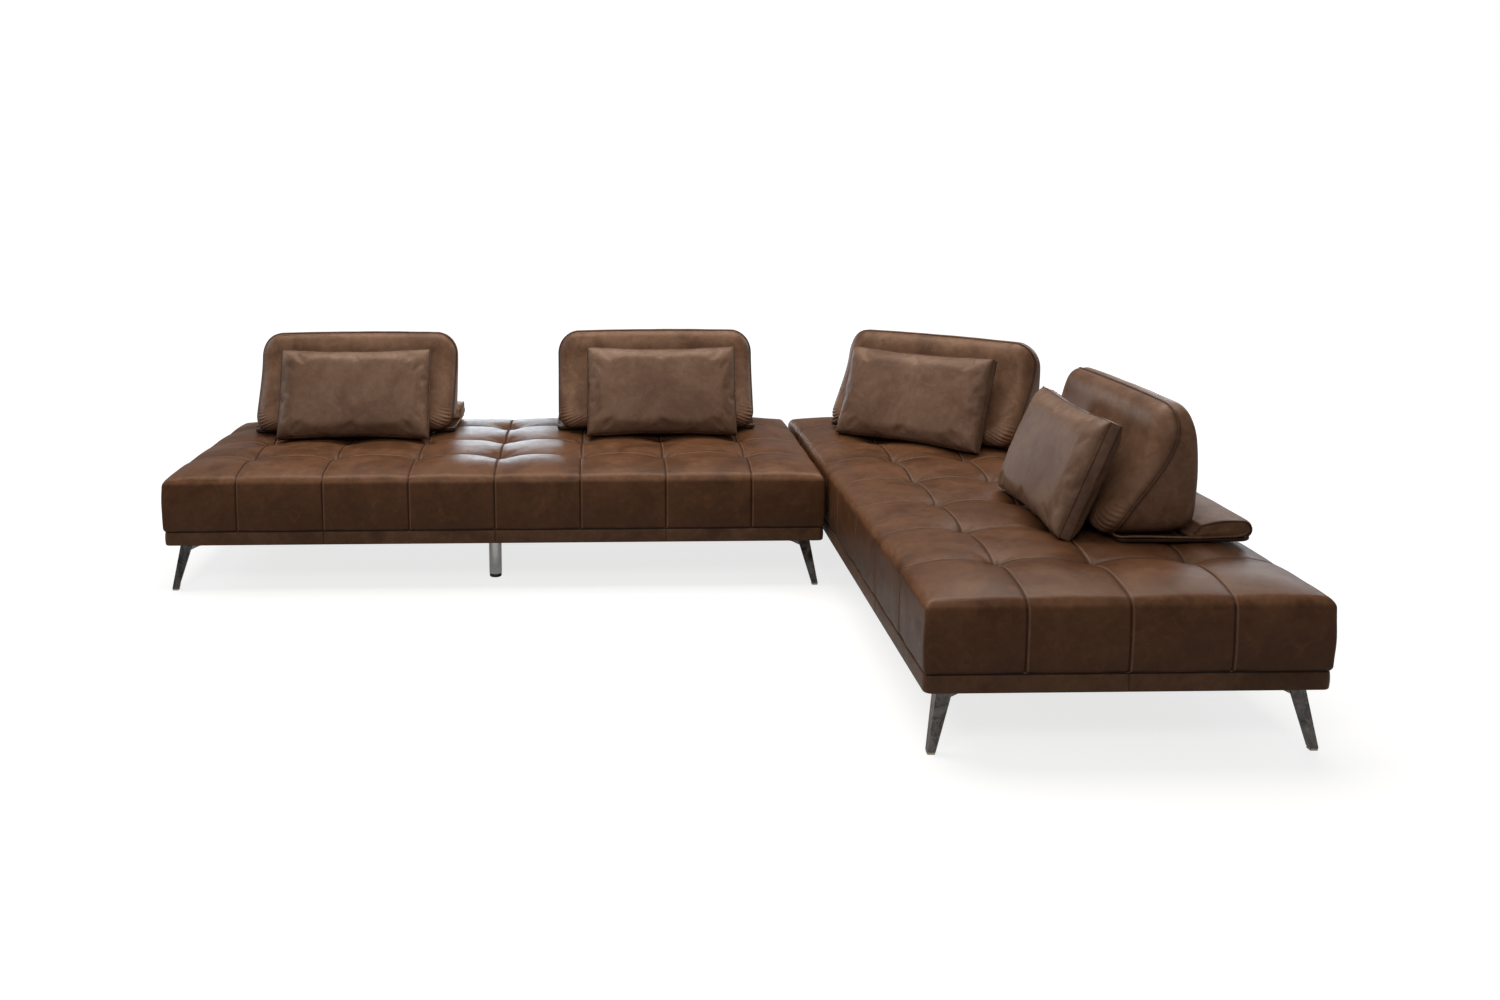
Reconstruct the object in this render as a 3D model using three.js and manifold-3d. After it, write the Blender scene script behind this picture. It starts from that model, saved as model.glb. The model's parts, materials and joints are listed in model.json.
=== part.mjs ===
// Corner sofa: two tufted seat modules set in an L, four reclining backrests that slide
// on the seats, and four loose lumbar pillows.
// Millimetres. +X runs along the long module, +Y to the back, +Z up. The origin is on the
// floor under the middle of the L's bounding rectangle.

import * as THREE from "three";
import { mergeVertices } from "three/addons/utils/BufferGeometryUtils.js";
import Module from "manifold-3d";

const wasm = await Module();
wasm.setup();

// Clearances
const touchGap = 0.3;
const swingGap = 3;
const cutOverrun = 5;

// Tufting of the seats: panels along a module and across it
const panelsAlong = 8;
const panelsDeep = 4;
const panelPitch = 300;
const longEndPanel = 260;
const sideEndPanel = 275;
const panelDepthPitch = 258.7;
const edgePanel = 257.3;

// Module plan
const moduleGap = 11.3;
const moduleDepth = 2 * edgePanel + (panelsDeep - 2) * panelDepthPitch;
const longLength = 2 * longEndPanel + (panelsAlong - 2) * panelPitch;
const sideLength = 2 * sideEndPanel + (panelsAlong - 2) * panelPitch;
const cornerRadius = 26;
const innerCornerRadius = 4;

// Facets of round pieces
const cornerSteps = 3;
const pinSides = 10;
const drumSides = 12;
const screwSides = 8;
const postSides = 20;
const postFootSides = 16;
const outlineSteps = 4;
const earSteps = 8;

// Module heights
const railBottom = 165.6;
const railHeight = 46.7;
const shadowGap = 3;
const crownHeight = 436.7;
const frameTop = 290;

// Wrapped rail round the plinth
const railInset = 5;
const railThickness = 6;
const railLip = 2.4;
const railLipReach = 20;
const railEdgeChamfer = 2;

// Timber frame
const frameInnerInset = 75;
const crossRails = 3;
const crossRailWidth = 45;
const crossRailDrop = 20;
const cornerBlockLeg = 135;
const cornerBlockHeight = 40;

// Cover, webbing and foam
const coverWall = 30;
const coverTopWall = 46;
const edgeRadius = 26;
const edgeFall = 30;
const seamDrop = 9;
const tuftDepth = 19;
const tuftReach = 62;
const sideSeamDrop = 3.5;
const sideBelly = 4;
const webbingThickness = 2.5;
const webbingInset = 38;
const webbingStrap = 60;
const webbingOpeningsAlong = 8;
const webbingOpeningsDeep = 3;

// Cast corner legs
const glideThickness = 6;
const glideWidth = 20;
const glideChamfer = 2;
const footInset = 21;
const footWidth = 21;
const legRidgeInset = 50;
const bladeWidth = 42;
const bladeThickness = 9;
const wingReach = 118;
const wingDepth = 30;
const wingKneeReach = 60;
const wingKneeDepth = 17;
const wingTip = 4;
const legPlateSide = 96;
const legPlateCut = 40;
const legPlateThickness = 4;
const screwHole = 6;
const screwInset = 14;

// Centre posts
const postDiameter = 45;
const postInset = 155;
const postShift = -13;
const postFlange = 72;
const postFlangeThickness = 4;
const postFootHeight = 12;
const postFootDiameter = 43;
const postFootChamfer = 2;

// Link between the modules
const linkInset = 420;
const linkWidth = 60;
const linkThickness = 3;
const linkGrip = 62;
const linkReach = 30;
const linkPoint = 12;
const catchWidth = 84;
const catchDepth = 44;
const catchHeight = 9;

// Backrest: base board and base pad
const backWidth = 800;
const baseInset = 5;
const baseWidth = backWidth - 2 * baseInset;
const baseFront = 8;
const baseBack = 386;
const boardThickness = 12;
const boardCorner = 42;
const padTop = 53;
const padTip = 392;
const padNose = 26;
const padEndRound = 12;
const padEndShrink = 5;

// Backrest: cushion
const backTop = 381;
const backCornerRadius = 70;
const backCrown = 56;
const backRearCrown = 10;
const backEndShrink = 9;
const hingeBack = 190;
const hingeHeight = 68;
const hingeRound = 45;

// Backrest: steel bracket on the board and steel frame in the cushion
const bracketFront = 60;
const bracketThickness = 3;
const bracketWidth = 520;
const earSpread = 220;
const earThickness = 5;
const earRadius = 22;
const earNeck = 16;
const pinDiameter = 12;
const drumRadius = 20;
const drumLength = 9;
const drumStep = 6;
const armThickness = 5;
const armWidth = 24;
const panelWidth = 560;
const panelThickness = 8;
const panelBottom = 96;
const panelCorner = 40;
const panelTopMargin = 46;
const panelWindows = 3;
const panelBar = 42;
const pocketHalfWidth = 22;

// Pillows
const pillowWidth = 580;
const pillowHeight = 345;
const pillowThickness = 120;
const pillowPull = 9;
const pillowRestGap = 1;
const pillowLean = THREE.MathUtils.degToRad(22);

// Where the middle of each backrest's front lower edge stands, as shares of its module's
// length and depth, with its turn in degrees and its pillow's shift as a share of its width
const backrestShares = [
  { name: "back_1", along: 0.2401, across: 0.5959, turn: 0, pillow: 0.0175 },
  { name: "back_2", along: 0.7552, across: 0.6163, turn: 0, pillow: 0.0225 },
  { name: "back_3", along: 0.2494, across: 0.4057, turn: 49, pillow: 0 },
  { name: "back_4", along: 0.6753, across: 0.5995, turn: 0, pillow: 0.0775 },
];

// Shares that shape the forms
const panelStepShares = [0.2, 0.5, 0.8];
const panelMiddleShare = 0.5;
const seamCurveShare = 0.62;
const backStationShares = [0, 0.015, 0.05, 0.11, 0.19, 0.34, 0.5];
const backFrontShares = [
  [0.07, 0], [0.17, 0.13], [0.34, 0.27], [0.53, 0.41],
  [0.7, 0.55], [0.84, 0.7], [0.93, 0.85], [0.95, 0.96],
];
const backCrownShares = [0, 0.66, 0.95, 1, 1, 0.94, 0.72, 0.3];
const backRearShares = [0.64, 0.4];
const backMiddleShares = [0.75, 0.45];
const backFootPullShare = 0.3;
const pillowStepShares = [0, 0.1, 0.3, 0.5, 0.7, 0.9, 1];
const pillowStepAcrossShares = [0, 0.12, 0.35, 0.65, 0.88, 1];
const pillowPowerShare = 0.5;

// Powers and angles that shape the forms
const backCrownPower = 4.5;
const padFrontDegrees = [-76, -58, -40, -22];
const padNoseDegrees = [60, 20, -20, -60];
const backFootDegrees = [0, -30, -60, -90];
const pocketDegrees = 30;

// Heights worked out from the sizes above
const railTop = railBottom + railHeight;
const frameBottom = railBottom + railLip + touchGap;
const coverBottom = railTop + shadowGap;
const legTop = frameBottom - touchGap;
const frameOuterInset = railInset + railThickness + touchGap;
const seatPlane = crownHeight + touchGap;
const armInner = earSpread + earThickness / 2 + touchGap;
const armOuter = armInner + armThickness;
const armTop = panelBottom + armWidth;

// Materials
const finish = (color, roughness, metalness = 0) => ({ color, roughness, metalness });
const finishes = {
  leather: finish(0x5a3722, 0.42),
  railLeather: finish(0x52311e, 0.42),
  boardLeather: finish(0x33201a, 0.5),
  pillowLeather: finish(0x66432e, 0.48),
  timber: finish(0xb98c5c, 0.75),
  webbing: finish(0x2c2723, 0.9),
  foam: finish(0xe6d9a8, 0.95),
  castMetal: finish(0x8b8a88, 0.16, 1),
  chrome: finish(0xb9babb, 0.1, 1),
  steel: finish(0x6d7075, 0.35, 1),
  rubber: finish(0x141414, 0.8),
  felt: finish(0xcbb79b, 0.9),
};

// Positions only, with shared corners merged and faces without area left out
function merged(geometry) {
  const bare = geometry.clone();
  bare.deleteAttribute("normal");
  bare.deleteAttribute("uv");
  const whole = mergeVertices(bare);
  const index = whole.index.array;
  const kept = [];
  for (let face = 0; face < index.length; face += 3) {
    const [a, b, c] = index.slice(face, face + 3);
    if (a !== b && b !== c && c !== a) {
      kept.push(a, b, c);
    }
  }
  whole.setIndex(kept);
  return whole;
}

// Turns a closed geometry into a solid that can be joined and cut
function solidOf(geometry) {
  const whole = merged(geometry);
  const vertProperties = Float32Array.from(whole.attributes.position.array);
  const triVerts = Uint32Array.from(whole.index.array);
  return new wasm.Manifold(new wasm.Mesh({ numProp: 3, vertProperties, triVerts }));
}

function geometryOf(solid) {
  const mesh = solid.getMesh();
  const geometry = new THREE.BufferGeometry();
  geometry.setAttribute("position", new THREE.BufferAttribute(mesh.vertProperties, 3));
  geometry.setIndex(new THREE.BufferAttribute(mesh.triVerts, 1));
  return geometry;
}

function joined(geometries) {
  return geometries.map(solidOf).reduce((whole, piece) => whole.add(piece));
}

function cutBy(solid, geometries) {
  return geometries.map(solidOf).reduce((whole, piece) => whole.subtract(piece), solid);
}

function meshFrom(points, triangles) {
  const geometry = new THREE.BufferGeometry();
  geometry.setAttribute("position", new THREE.Float32BufferAttribute(points.flat(), 3));
  geometry.setIndex(triangles);
  return geometry;
}

// Box between two opposite corners
function box(low, high) {
  const size = high.map((value, axis) => value - low[axis]);
  const middle = high.map((value, axis) => (value + low[axis]) / 2);
  return new THREE.BoxGeometry(...size).translate(...middle);
}

// Skin over rings of equally many points. A closed run joins its last ring to its first,
// and an open one is capped with the flat faces of its end rings.
function skin(rings, closed) {
  const count = rings[0].length;
  const triangles = [];
  const last = closed ? rings.length : rings.length - 1;
  for (let ring = 0; ring < last; ring += 1) {
    const here = ring * count;
    const next = ((ring + 1) % rings.length) * count;
    for (let step = 0; step < count; step += 1) {
      const along = (step + 1) % count;
      triangles.push(here + step, here + along, next + along);
      triangles.push(here + step, next + along, next + step);
    }
  }
  return { points: rings.flat(), triangles };
}

function capped(rings, capOutline) {
  const { points, triangles } = skin(rings, false);
  const contour = capOutline.map(([a, b]) => new THREE.Vector2(a, b));
  const faces = THREE.ShapeUtils.triangulateShape(contour, []);
  const turn = Math.sign(THREE.ShapeUtils.area(contour));
  const far = (rings.length - 1) * rings[0].length;
  for (const face of faces) {
    const faceTurn = Math.sign(THREE.ShapeUtils.area(face.map((corner) => contour[corner])));
    const [a, b, c] = faceTurn === turn ? face : [...face].reverse();
    triangles.push(c, b, a);
    triangles.push(far + a, far + b, far + c);
  }
  return facingOut(meshFrom(points, triangles));
}

// Turns every face of a closed mesh round if the mesh encloses a negative volume
function facingOut(geometry) {
  const place = geometry.attributes.position;
  const index = geometry.index.array;
  const corner = [0, 1, 2].map(() => new THREE.Vector3());
  let volume = 0;
  for (let face = 0; face < index.length; face += 3) {
    corner.forEach((point, turn) => point.fromBufferAttribute(place, index[face + turn]));
    volume += corner[0].dot(corner[1].clone().cross(corner[2]));
  }
  if (volume < 0) {
    geometry.setIndex(Array.from(index).reverse());
  }
  return geometry;
}

// Loop of one section round a rectangle with rounded corners. The section's points are
// pairs of inset from the rectangle and height.
function loopRound(length, depth, section) {
  const corners = [
    { x: 0, y: 0, start: 2 },
    { x: length, y: 0, start: 3 },
    { x: length, y: depth, start: 0 },
    { x: 0, y: depth, start: 1 },
  ];
  const rings = [];
  for (const { x, y, start } of corners) {
    for (let step = 0; step <= cornerSteps; step += 1) {
      const angle = ((start + step / cornerSteps) * Math.PI) / 2;
      rings.push(section.map(([inset, z]) => {
        const radius = Math.max(cornerRadius - inset, innerCornerRadius);
        const inward = inset + radius;
        const centreX = x + (x > 0 ? -inward : inward);
        const centreY = y + (y > 0 ? -inward : inward);
        return [centreX + radius * Math.cos(angle), centreY + radius * Math.sin(angle), z];
      }));
    }
  }
  const { points, triangles } = skin(rings, true);
  return facingOut(meshFrom(points, triangles));
}

function roundedRectangle(left, front, right, back, frontRadius, backRadius) {
  const shape = new THREE.Shape();
  shape.moveTo(left + frontRadius, front);
  shape.lineTo(right - frontRadius, front);
  shape.absarc(right - frontRadius, front + frontRadius, frontRadius, -Math.PI / 2, 0);
  shape.lineTo(right, back - backRadius);
  shape.absarc(right - backRadius, back - backRadius, backRadius, 0, Math.PI / 2);
  shape.lineTo(left + backRadius, back);
  shape.absarc(left + backRadius, back - backRadius, backRadius, Math.PI / 2, Math.PI);
  shape.lineTo(left, front + frontRadius);
  shape.absarc(left + frontRadius, front + frontRadius, frontRadius, Math.PI, 1.5 * Math.PI);
  return shape;
}

// Flat outline given a thickness upward
function slab(shape, thickness) {
  const settings = { depth: thickness, bevelEnabled: false, curveSegments: outlineSteps };
  return new THREE.ExtrudeGeometry(shape, settings);
}

// Round bar lying along X about its middle
function bar(radius, length, sides) {
  return new THREE.CylinderGeometry(radius, radius, length, sides).rotateZ(Math.PI / 2);
}

// Seam lines of a row of panels, from one edge of the seat to the other
function seamLines(endPanel, pitch, count) {
  const lines = [0, endPanel];
  for (let panel = 1; panel < count - 1; panel += 1) {
    lines.push(endPanel + panel * pitch);
  }
  lines.push(2 * endPanel + (count - 2) * pitch);
  return lines;
}

// Places of the cover's mesh lines along one side: every seam, steps inside each panel and
// a band of steps round each outer edge
function meshLines(seams) {
  const length = seams[seams.length - 1];
  const lines = [0, edgeRadius / 2, edgeRadius];
  for (let panel = 0; panel + 1 < seams.length; panel += 1) {
    const from = panel === 0 ? edgeRadius : seams[panel];
    const to = panel + 2 === seams.length ? length - edgeRadius : seams[panel + 1];
    for (const share of panelStepShares) {
      lines.push(from + share * (to - from));
    }
    lines.push(to);
  }
  lines.push(length - edgeRadius / 2, length);
  return lines;
}

// How full a panel is at a place across it: 0 on its seams and 1 in the middle. The
// outermost panels stay full from their middle to the seat's edge.
function fullness(place, seams) {
  const lastPanel = seams.length - 2;
  const beyond = seams.findIndex((seam) => seam > place);
  const panel = beyond < 0 ? lastPanel : Math.max(beyond - 1, 0);
  let across = (place - seams[panel]) / (seams[panel + 1] - seams[panel]);
  if (panel === 0) {
    across = Math.max(across, panelMiddleShare);
  }
  if (panel === lastPanel) {
    across = Math.min(across, panelMiddleShare);
  }
  return Math.pow(Math.sin(Math.PI * across), seamCurveShare);
}

function tuftNearness(x, y, seamsAlong, seamsDeep) {
  let nearest = Infinity;
  for (const seamX of seamsAlong.slice(1, -1)) {
    for (const seamY of seamsDeep.slice(1, -1)) {
      nearest = Math.min(nearest, Math.hypot(x - seamX, y - seamY));
    }
  }
  return Math.exp(-Math.pow(nearest / tuftReach, 2));
}

// How far the seat's top falls towards its edges within the outermost panels
function fallTo(place, length, panel) {
  const inward = Math.max(Math.min(place, length - place), 0);
  return Math.pow(Math.max(1 - inward / panel, 0), 2);
}

// Tufted seat cover: a rounded box whose top falls to its edges and is drawn down along
// its seams and at its tufts, hollow and open below
function coverSolid(seamsAlong, seamsDeep) {
  const length = seamsAlong[seamsAlong.length - 1];
  const depth = seamsDeep[seamsDeep.length - 1];
  const skirt = coverBottom - 2 * cutOverrun;
  const middleHeight = (coverBottom + crownHeight - edgeRadius) / 2;
  const linesX = meshLines(seamsAlong);
  const linesY = meshLines(seamsDeep);
  const edgeStart = crownHeight - edgeRadius;
  const linesZ = [skirt, middleHeight, edgeStart, edgeStart + edgeRadius / 2, crownHeight];
  const low = new THREE.Vector3(edgeRadius, edgeRadius, skirt);
  const high = new THREE.Vector3(length - edgeRadius, depth - edgeRadius, edgeStart);

  const shaped = (x, y, z) => {
    const place = new THREE.Vector3(x, y, z);
    const core = place.clone().clamp(low, high);
    const out = place.clone().sub(core);
    if (z <= low.z) {
      out.z = 0;
    }
    if (out.length() === 0) {
      return [x, y, z];
    }
    out.normalize();
    const full = fullness(x, seamsAlong);
    const fullDeep = fullness(y, seamsDeep);
    const tuft = tuftDepth * tuftNearness(x, y, seamsAlong, seamsDeep);
    const top = seamDrop * (1 - full * fullDeep) + tuft;
    const belly = Math.pow((z - middleHeight) / (crownHeight - middleHeight), 2);
    const side = sideBelly * Math.min(belly, 1);
    const front = sideSeamDrop * (1 - full) + side;
    const end = sideSeamDrop * (1 - fullDeep) + side;
    const drop = out.z * out.z * top + out.y * out.y * front + out.x * out.x * end;
    return core.addScaledVector(out, edgeRadius - drop).toArray();
  };
  const settled = (x, y, z) => {
    const place = shaped(x, y, z);
    const endFall = fallTo(place[0], length, seamsAlong[1]);
    const frontFall = fallTo(place[1], depth, seamsDeep[1]);
    const rise = Math.max(place[2] - coverBottom, 0) / (crownHeight - coverBottom);
    place[2] -= edgeFall * (endFall + frontFall - endFall * frontFall) * rise;
    return place;
  };

  const nx = linesX.length - 1;
  const ny = linesY.length - 1;
  const nz = linesZ.length - 1;
  const points = [];
  const triangles = [];
  const face = (countA, countB, at) => {
    const start = points.length;
    for (let b = 0; b <= countB; b += 1) {
      for (let a = 0; a <= countA; a += 1) {
        points.push(at(a, b));
      }
    }
    for (let b = 0; b < countB; b += 1) {
      for (let a = 0; a < countA; a += 1) {
        const here = start + b * (countA + 1) + a;
        const above = here + countA + 1;
        triangles.push(here, here + 1, above + 1, here, above + 1, above);
      }
    }
  };
  face(nx, ny, (a, b) => settled(linesX[a], linesY[b], crownHeight));
  face(nx, nz, (a, b) => settled(linesX[a], 0, linesZ[b]));
  face(nx, nz, (a, b) => settled(linesX[nx - a], depth, linesZ[b]));
  face(ny, nz, (a, b) => settled(0, linesY[ny - a], linesZ[b]));
  face(ny, nz, (a, b) => settled(length, linesY[a], linesZ[b]));
  face(nx, ny, (a, b) => settled(linesX[nx - a], linesY[b], skirt));

  const hollow = box(
    [coverWall, coverWall, skirt - cutOverrun],
    [length - coverWall, depth - coverWall, crownHeight - coverTopWall],
  );
  const below = box([-length, -depth, skirt - cutOverrun], [2 * length, 2 * depth, coverBottom]);
  return cutBy(solidOf(meshFrom(points, triangles)), [below, hollow]);
}

function frameSolid(length, centreX) {
  const section = [
    [frameOuterInset, frameBottom],
    [frameInnerInset, frameBottom],
    [frameInnerInset, frameTop],
    [coverWall + touchGap, frameTop],
    [coverWall + touchGap, coverBottom - touchGap],
    [frameOuterInset, coverBottom - touchGap],
  ];
  const ring = loopRound(length, moduleDepth, section);
  const inner = frameInnerInset - cutOverrun;
  const pieces = [ring];
  const half = (crossRails + 1) / 2;
  for (let rail = 1; rail <= crossRails; rail += 1) {
    const x = centreX + ((rail - half) * length) / (crossRails + 1);
    pieces.push(box(
      [x - crossRailWidth / 2, inner, frameBottom],
      [x + crossRailWidth / 2, moduleDepth - inner, frameTop - crossRailDrop],
    ));
  }
  const corners = [[0, 0, 0], [length, 0, 1], [length, moduleDepth, 2], [0, moduleDepth, 3]];
  for (const [x, y, quarter] of corners) {
    const triangle = new THREE.Shape();
    triangle.moveTo(inner, inner);
    triangle.lineTo(inner + cornerBlockLeg, inner);
    triangle.lineTo(inner, inner + cornerBlockLeg);
    const block = slab(triangle, cornerBlockHeight);
    pieces.push(block.rotateZ((quarter * Math.PI) / 2).translate(x, y, frameBottom));
  }
  return joined(pieces);
}

function railGeometry(length) {
  const outer = railInset;
  const inner = railInset + railThickness;
  const section = [
    [outer, railBottom + railEdgeChamfer],
    [outer + railEdgeChamfer, railBottom],
    [inner + railLipReach, railBottom],
    [inner + railLipReach, railBottom + railLip],
    [inner, railBottom + railLip],
    [inner, railTop],
    [outer + railEdgeChamfer, railTop],
    [outer, railTop - railEdgeChamfer],
  ];
  return loopRound(length, moduleDepth, section);
}

// Lattice of webbing straps over the frame: a sheet with rows of openings cut in it
function webbingSolid(length) {
  const low = frameTop + touchGap;
  const high = low + webbingThickness;
  const right = length - webbingInset;
  const back = moduleDepth - webbingInset;
  const pitchX = (right - webbingInset - webbingStrap) / webbingOpeningsAlong;
  const pitchY = (back - webbingInset - webbingStrap) / webbingOpeningsDeep;
  const openings = [];
  for (let along = 0; along < webbingOpeningsAlong; along += 1) {
    for (let deep = 0; deep < webbingOpeningsDeep; deep += 1) {
      const x = webbingInset + webbingStrap + along * pitchX;
      const y = webbingInset + webbingStrap + deep * pitchY;
      const farX = x + pitchX - webbingStrap;
      const farY = y + pitchY - webbingStrap;
      openings.push(box([x, y, low - cutOverrun], [farX, farY, high + cutOverrun]));
    }
  }
  const sheet = box([webbingInset, webbingInset, low], [right, back, high]);
  return cutBy(solidOf(sheet), openings);
}

function foamGeometry(length) {
  const inset = coverWall + touchGap;
  const bottom = frameTop + webbingThickness + 2 * touchGap;
  const top = crownHeight - coverTopWall - touchGap;
  return box([inset, inset, bottom], [length - inset, moduleDepth - inset, top]);
}

// Cast corner leg for the corner at the origin, whose rails run along +X and +Y: an angle
// blade that splays out to its foot, a wing under each rail and a screw plate on top
function legSolid() {
  const footZ = glideThickness + touchGap;
  const angleSection = (ridge, width, heel, z) => [
    [ridge, ridge, z],
    [ridge + width, ridge, z],
    [ridge + width, ridge + bladeThickness, z],
    [ridge + heel, ridge + heel, z],
    [ridge + bladeThickness, ridge + width, z],
    [ridge, ridge + width, z],
  ];
  const foot = angleSection(footInset, footWidth, footWidth, footZ);
  foot[2][1] = footInset + footWidth / 2;
  foot[4][0] = footInset + footWidth / 2;
  const top = angleSection(legRidgeInset, bladeWidth, bladeThickness, legTop);
  const outline = top.map(([x, y]) => [x, y]);
  const blade = capped([foot, top], outline);

  const wing = new THREE.Shape();
  wing.moveTo(legRidgeInset, legTop);
  wing.lineTo(legRidgeInset, legTop - wingDepth / 2);
  wing.lineTo(legRidgeInset + bladeWidth - bladeThickness, legTop - wingDepth);
  wing.lineTo(legRidgeInset + wingKneeReach, legTop - wingKneeDepth);
  wing.lineTo(legRidgeInset + wingReach, legTop - wingTip);
  wing.lineTo(legRidgeInset + wingReach, legTop);
  const alongX = slab(wing, bladeThickness).rotateX(Math.PI / 2);
  alongX.translate(0, legRidgeInset + bladeThickness, 0);
  const alongY = slab(wing, bladeThickness).rotateX(Math.PI / 2).rotateZ(Math.PI / 2);
  alongY.translate(legRidgeInset, 0, 0);

  const far = legRidgeInset + legPlateSide;
  const plateShape = new THREE.Shape();
  plateShape.moveTo(legRidgeInset, legRidgeInset);
  plateShape.lineTo(far, legRidgeInset);
  plateShape.lineTo(far, far - legPlateCut);
  plateShape.lineTo(far - legPlateCut, far);
  plateShape.lineTo(legRidgeInset, far);
  const plate = slab(plateShape, legPlateThickness).translate(0, 0, legTop - legPlateThickness);

  const drill = bar(screwHole / 2, 2 * cutOverrun + legPlateThickness, screwSides).rotateY(Math.PI / 2);
  const holes = [
    [far - screwInset, legRidgeInset + 2 * screwInset],
    [legRidgeInset + 2 * screwInset, far - screwInset],
    [far - legPlateCut, far - legPlateCut],
  ].map(([x, y]) => drill.clone().translate(x, y, legTop));
  return cutBy(joined([blade, alongX, alongY, plate]), holes);
}

function glideGeometry() {
  const low = footInset + (footWidth - glideWidth) / 2;
  const high = low + glideWidth;
  const shape = roundedRectangle(low, low, high, high, glideChamfer, glideChamfer);
  const settings = { depth: glideThickness, bevelEnabled: false, curveSegments: 1 };
  return new THREE.ExtrudeGeometry(shape, settings);
}

function postGeometry() {
  const bottom = postFootHeight + touchGap;
  const profile = [
    [0, bottom],
    [postDiameter / 2, bottom],
    [postDiameter / 2, legTop - postFlangeThickness],
    [postFlange / 2, legTop - postFlangeThickness],
    [postFlange / 2, legTop],
    [0, legTop],
  ];
  return turned(profile, postSides);
}

function postFootGeometry() {
  const profile = [
    [0, 0],
    [postFootDiameter / 2 - postFootChamfer, 0],
    [postFootDiameter / 2, postFootChamfer],
    [postFootDiameter / 2, postFootHeight],
    [0, postFootHeight],
  ];
  return turned(profile, postFootSides);
}

// Round piece about a vertical axis from pairs of radius and height
function turned(profile, segments) {
  const outline = profile.map(([radius, height]) => new THREE.Vector2(radius, height));
  return new THREE.LatheGeometry(outline, segments).rotateX(Math.PI / 2);
}

// Tongue that reaches from under the long module into the catch of the other
function tongueGeometry() {
  const top = railBottom - touchGap;
  const reach = moduleGap + railInset + linkReach;
  const shape = new THREE.Shape();
  shape.moveTo(-linkGrip, -linkWidth / 2);
  shape.lineTo(reach - linkPoint, -linkWidth / 2);
  shape.lineTo(reach, -linkWidth / 2 + linkPoint);
  shape.lineTo(reach, linkWidth / 2 - linkPoint);
  shape.lineTo(reach - linkPoint, linkWidth / 2);
  shape.lineTo(-linkGrip, linkWidth / 2);
  return slab(shape, linkThickness).translate(0, 0, top - linkThickness);
}

function catchSolid() {
  const top = railBottom - touchGap;
  const slotSide = linkWidth / 2 + touchGap;
  const body = box([0, -catchWidth / 2, top - catchHeight], [catchDepth, catchWidth / 2, top]);
  const slot = box(
    [-cutOverrun, -slotSide, top - linkThickness - touchGap],
    [linkReach + 2 * touchGap, slotSide, top + cutOverrun],
  );
  return cutBy(solidOf(body), [slot]);
}

function boardGeometry() {
  const half = baseWidth / 2;
  const shape = roundedRectangle(-half, baseFront, half, baseBack, boardCorner / 2, boardCorner);
  return slab(shape, boardThickness);
}

// Base pad behind the cushion: its front follows the cushion's round rear foot, and its
// back ends in a rounded nose over the board
function padGeometry() {
  const floor = boardThickness + touchGap;
  const reach = hingeRound + swingGap;
  const front = padFrontDegrees.map((degrees) => {
    const angle = THREE.MathUtils.degToRad(degrees);
    return [hingeBack + reach * Math.cos(angle), hingeHeight + reach * Math.sin(angle)];
  });
  const noseMiddle = (padTop + floor) / 2;
  const nose = padNoseDegrees.map((degrees) => {
    const angle = THREE.MathUtils.degToRad(degrees);
    const y = padTip - padNose + padNose * Math.cos(angle);
    return [y, noseMiddle + (noseMiddle - floor) * Math.sin(angle)];
  });
  const rise = (hingeBack + reach + padTip - padNose) / 2;
  const outline = [
    [front[0][0], floor],
    ...front,
    [front[3][0] + swingGap, padTop - swingGap],
    [rise, padTop + swingGap],
    [padTip - padNose, padTop],
    ...nose,
    [padTip - padNose, floor],
  ];
  const half = baseWidth / 2;
  const middle = [(hingeBack + reach + padTip) / 2, (padTop + floor) / 2];
  const station = (x, shrink) => outline.map(([y, z]) => [
    x,
    y + shrink * Math.sign(middle[0] - y),
    Math.max(z + shrink * Math.sign(middle[1] - z), floor),
  ]);
  const rings = [
    station(-half, padEndShrink),
    station(-half + padEndRound, 0),
    station(half - padEndRound, 0),
    station(half, padEndShrink),
  ];
  return capped(rings, rings[0].map(([, y, z]) => [y, z]));
}

// Side outline of the back cushion as pairs of back and up, from its front lower edge up
// the leaning front, over the top, down the back and round the rear foot
function backOutline() {
  const frontFoot = boardThickness + touchGap;
  const frontReach = hingeBack - 2 * panelThickness;
  const front = backFrontShares.map(([y, z], step) => ({
    y: y * frontReach,
    z: frontFoot + z * (backTop - frontFoot),
    crown: -backCrownShares[step] * backCrown,
  }));
  const rear = hingeBack + hingeRound;
  const topBack = rear - 2 * backRearCrown;
  const [rearUpper, rearLower] = backRearShares.map((share) => (backTop + hingeHeight) * share);
  const top = [
    { y: frontReach, z: backTop, crown: 0 },
    { y: (frontReach + topBack) / 2, z: backTop - backRearCrown, crown: 0 },
    { y: topBack, z: backTop - panelTopMargin, crown: backRearCrown / 2 },
    { y: rear - backRearCrown, z: rearUpper, crown: backRearCrown },
    { y: rear - backRearCrown / 2, z: rearLower, crown: backRearCrown },
  ];
  const foot = backFootDegrees.map((degrees) => {
    const angle = THREE.MathUtils.degToRad(degrees);
    const y = hingeBack + hingeRound * Math.cos(angle);
    return { y, z: hingeHeight + hingeRound * Math.sin(angle), crown: 0 };
  });
  const plateTop = frontFoot + bracketThickness + touchGap;
  const belly = [
    { y: (bracketFront + hingeBack) / 2, z: (plateTop + hingeHeight - hingeRound) / 2, crown: 0 },
    { y: bracketFront, z: plateTop + touchGap, crown: 0 },
  ];
  return [...front, ...top, ...foot, ...belly];
}

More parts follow.
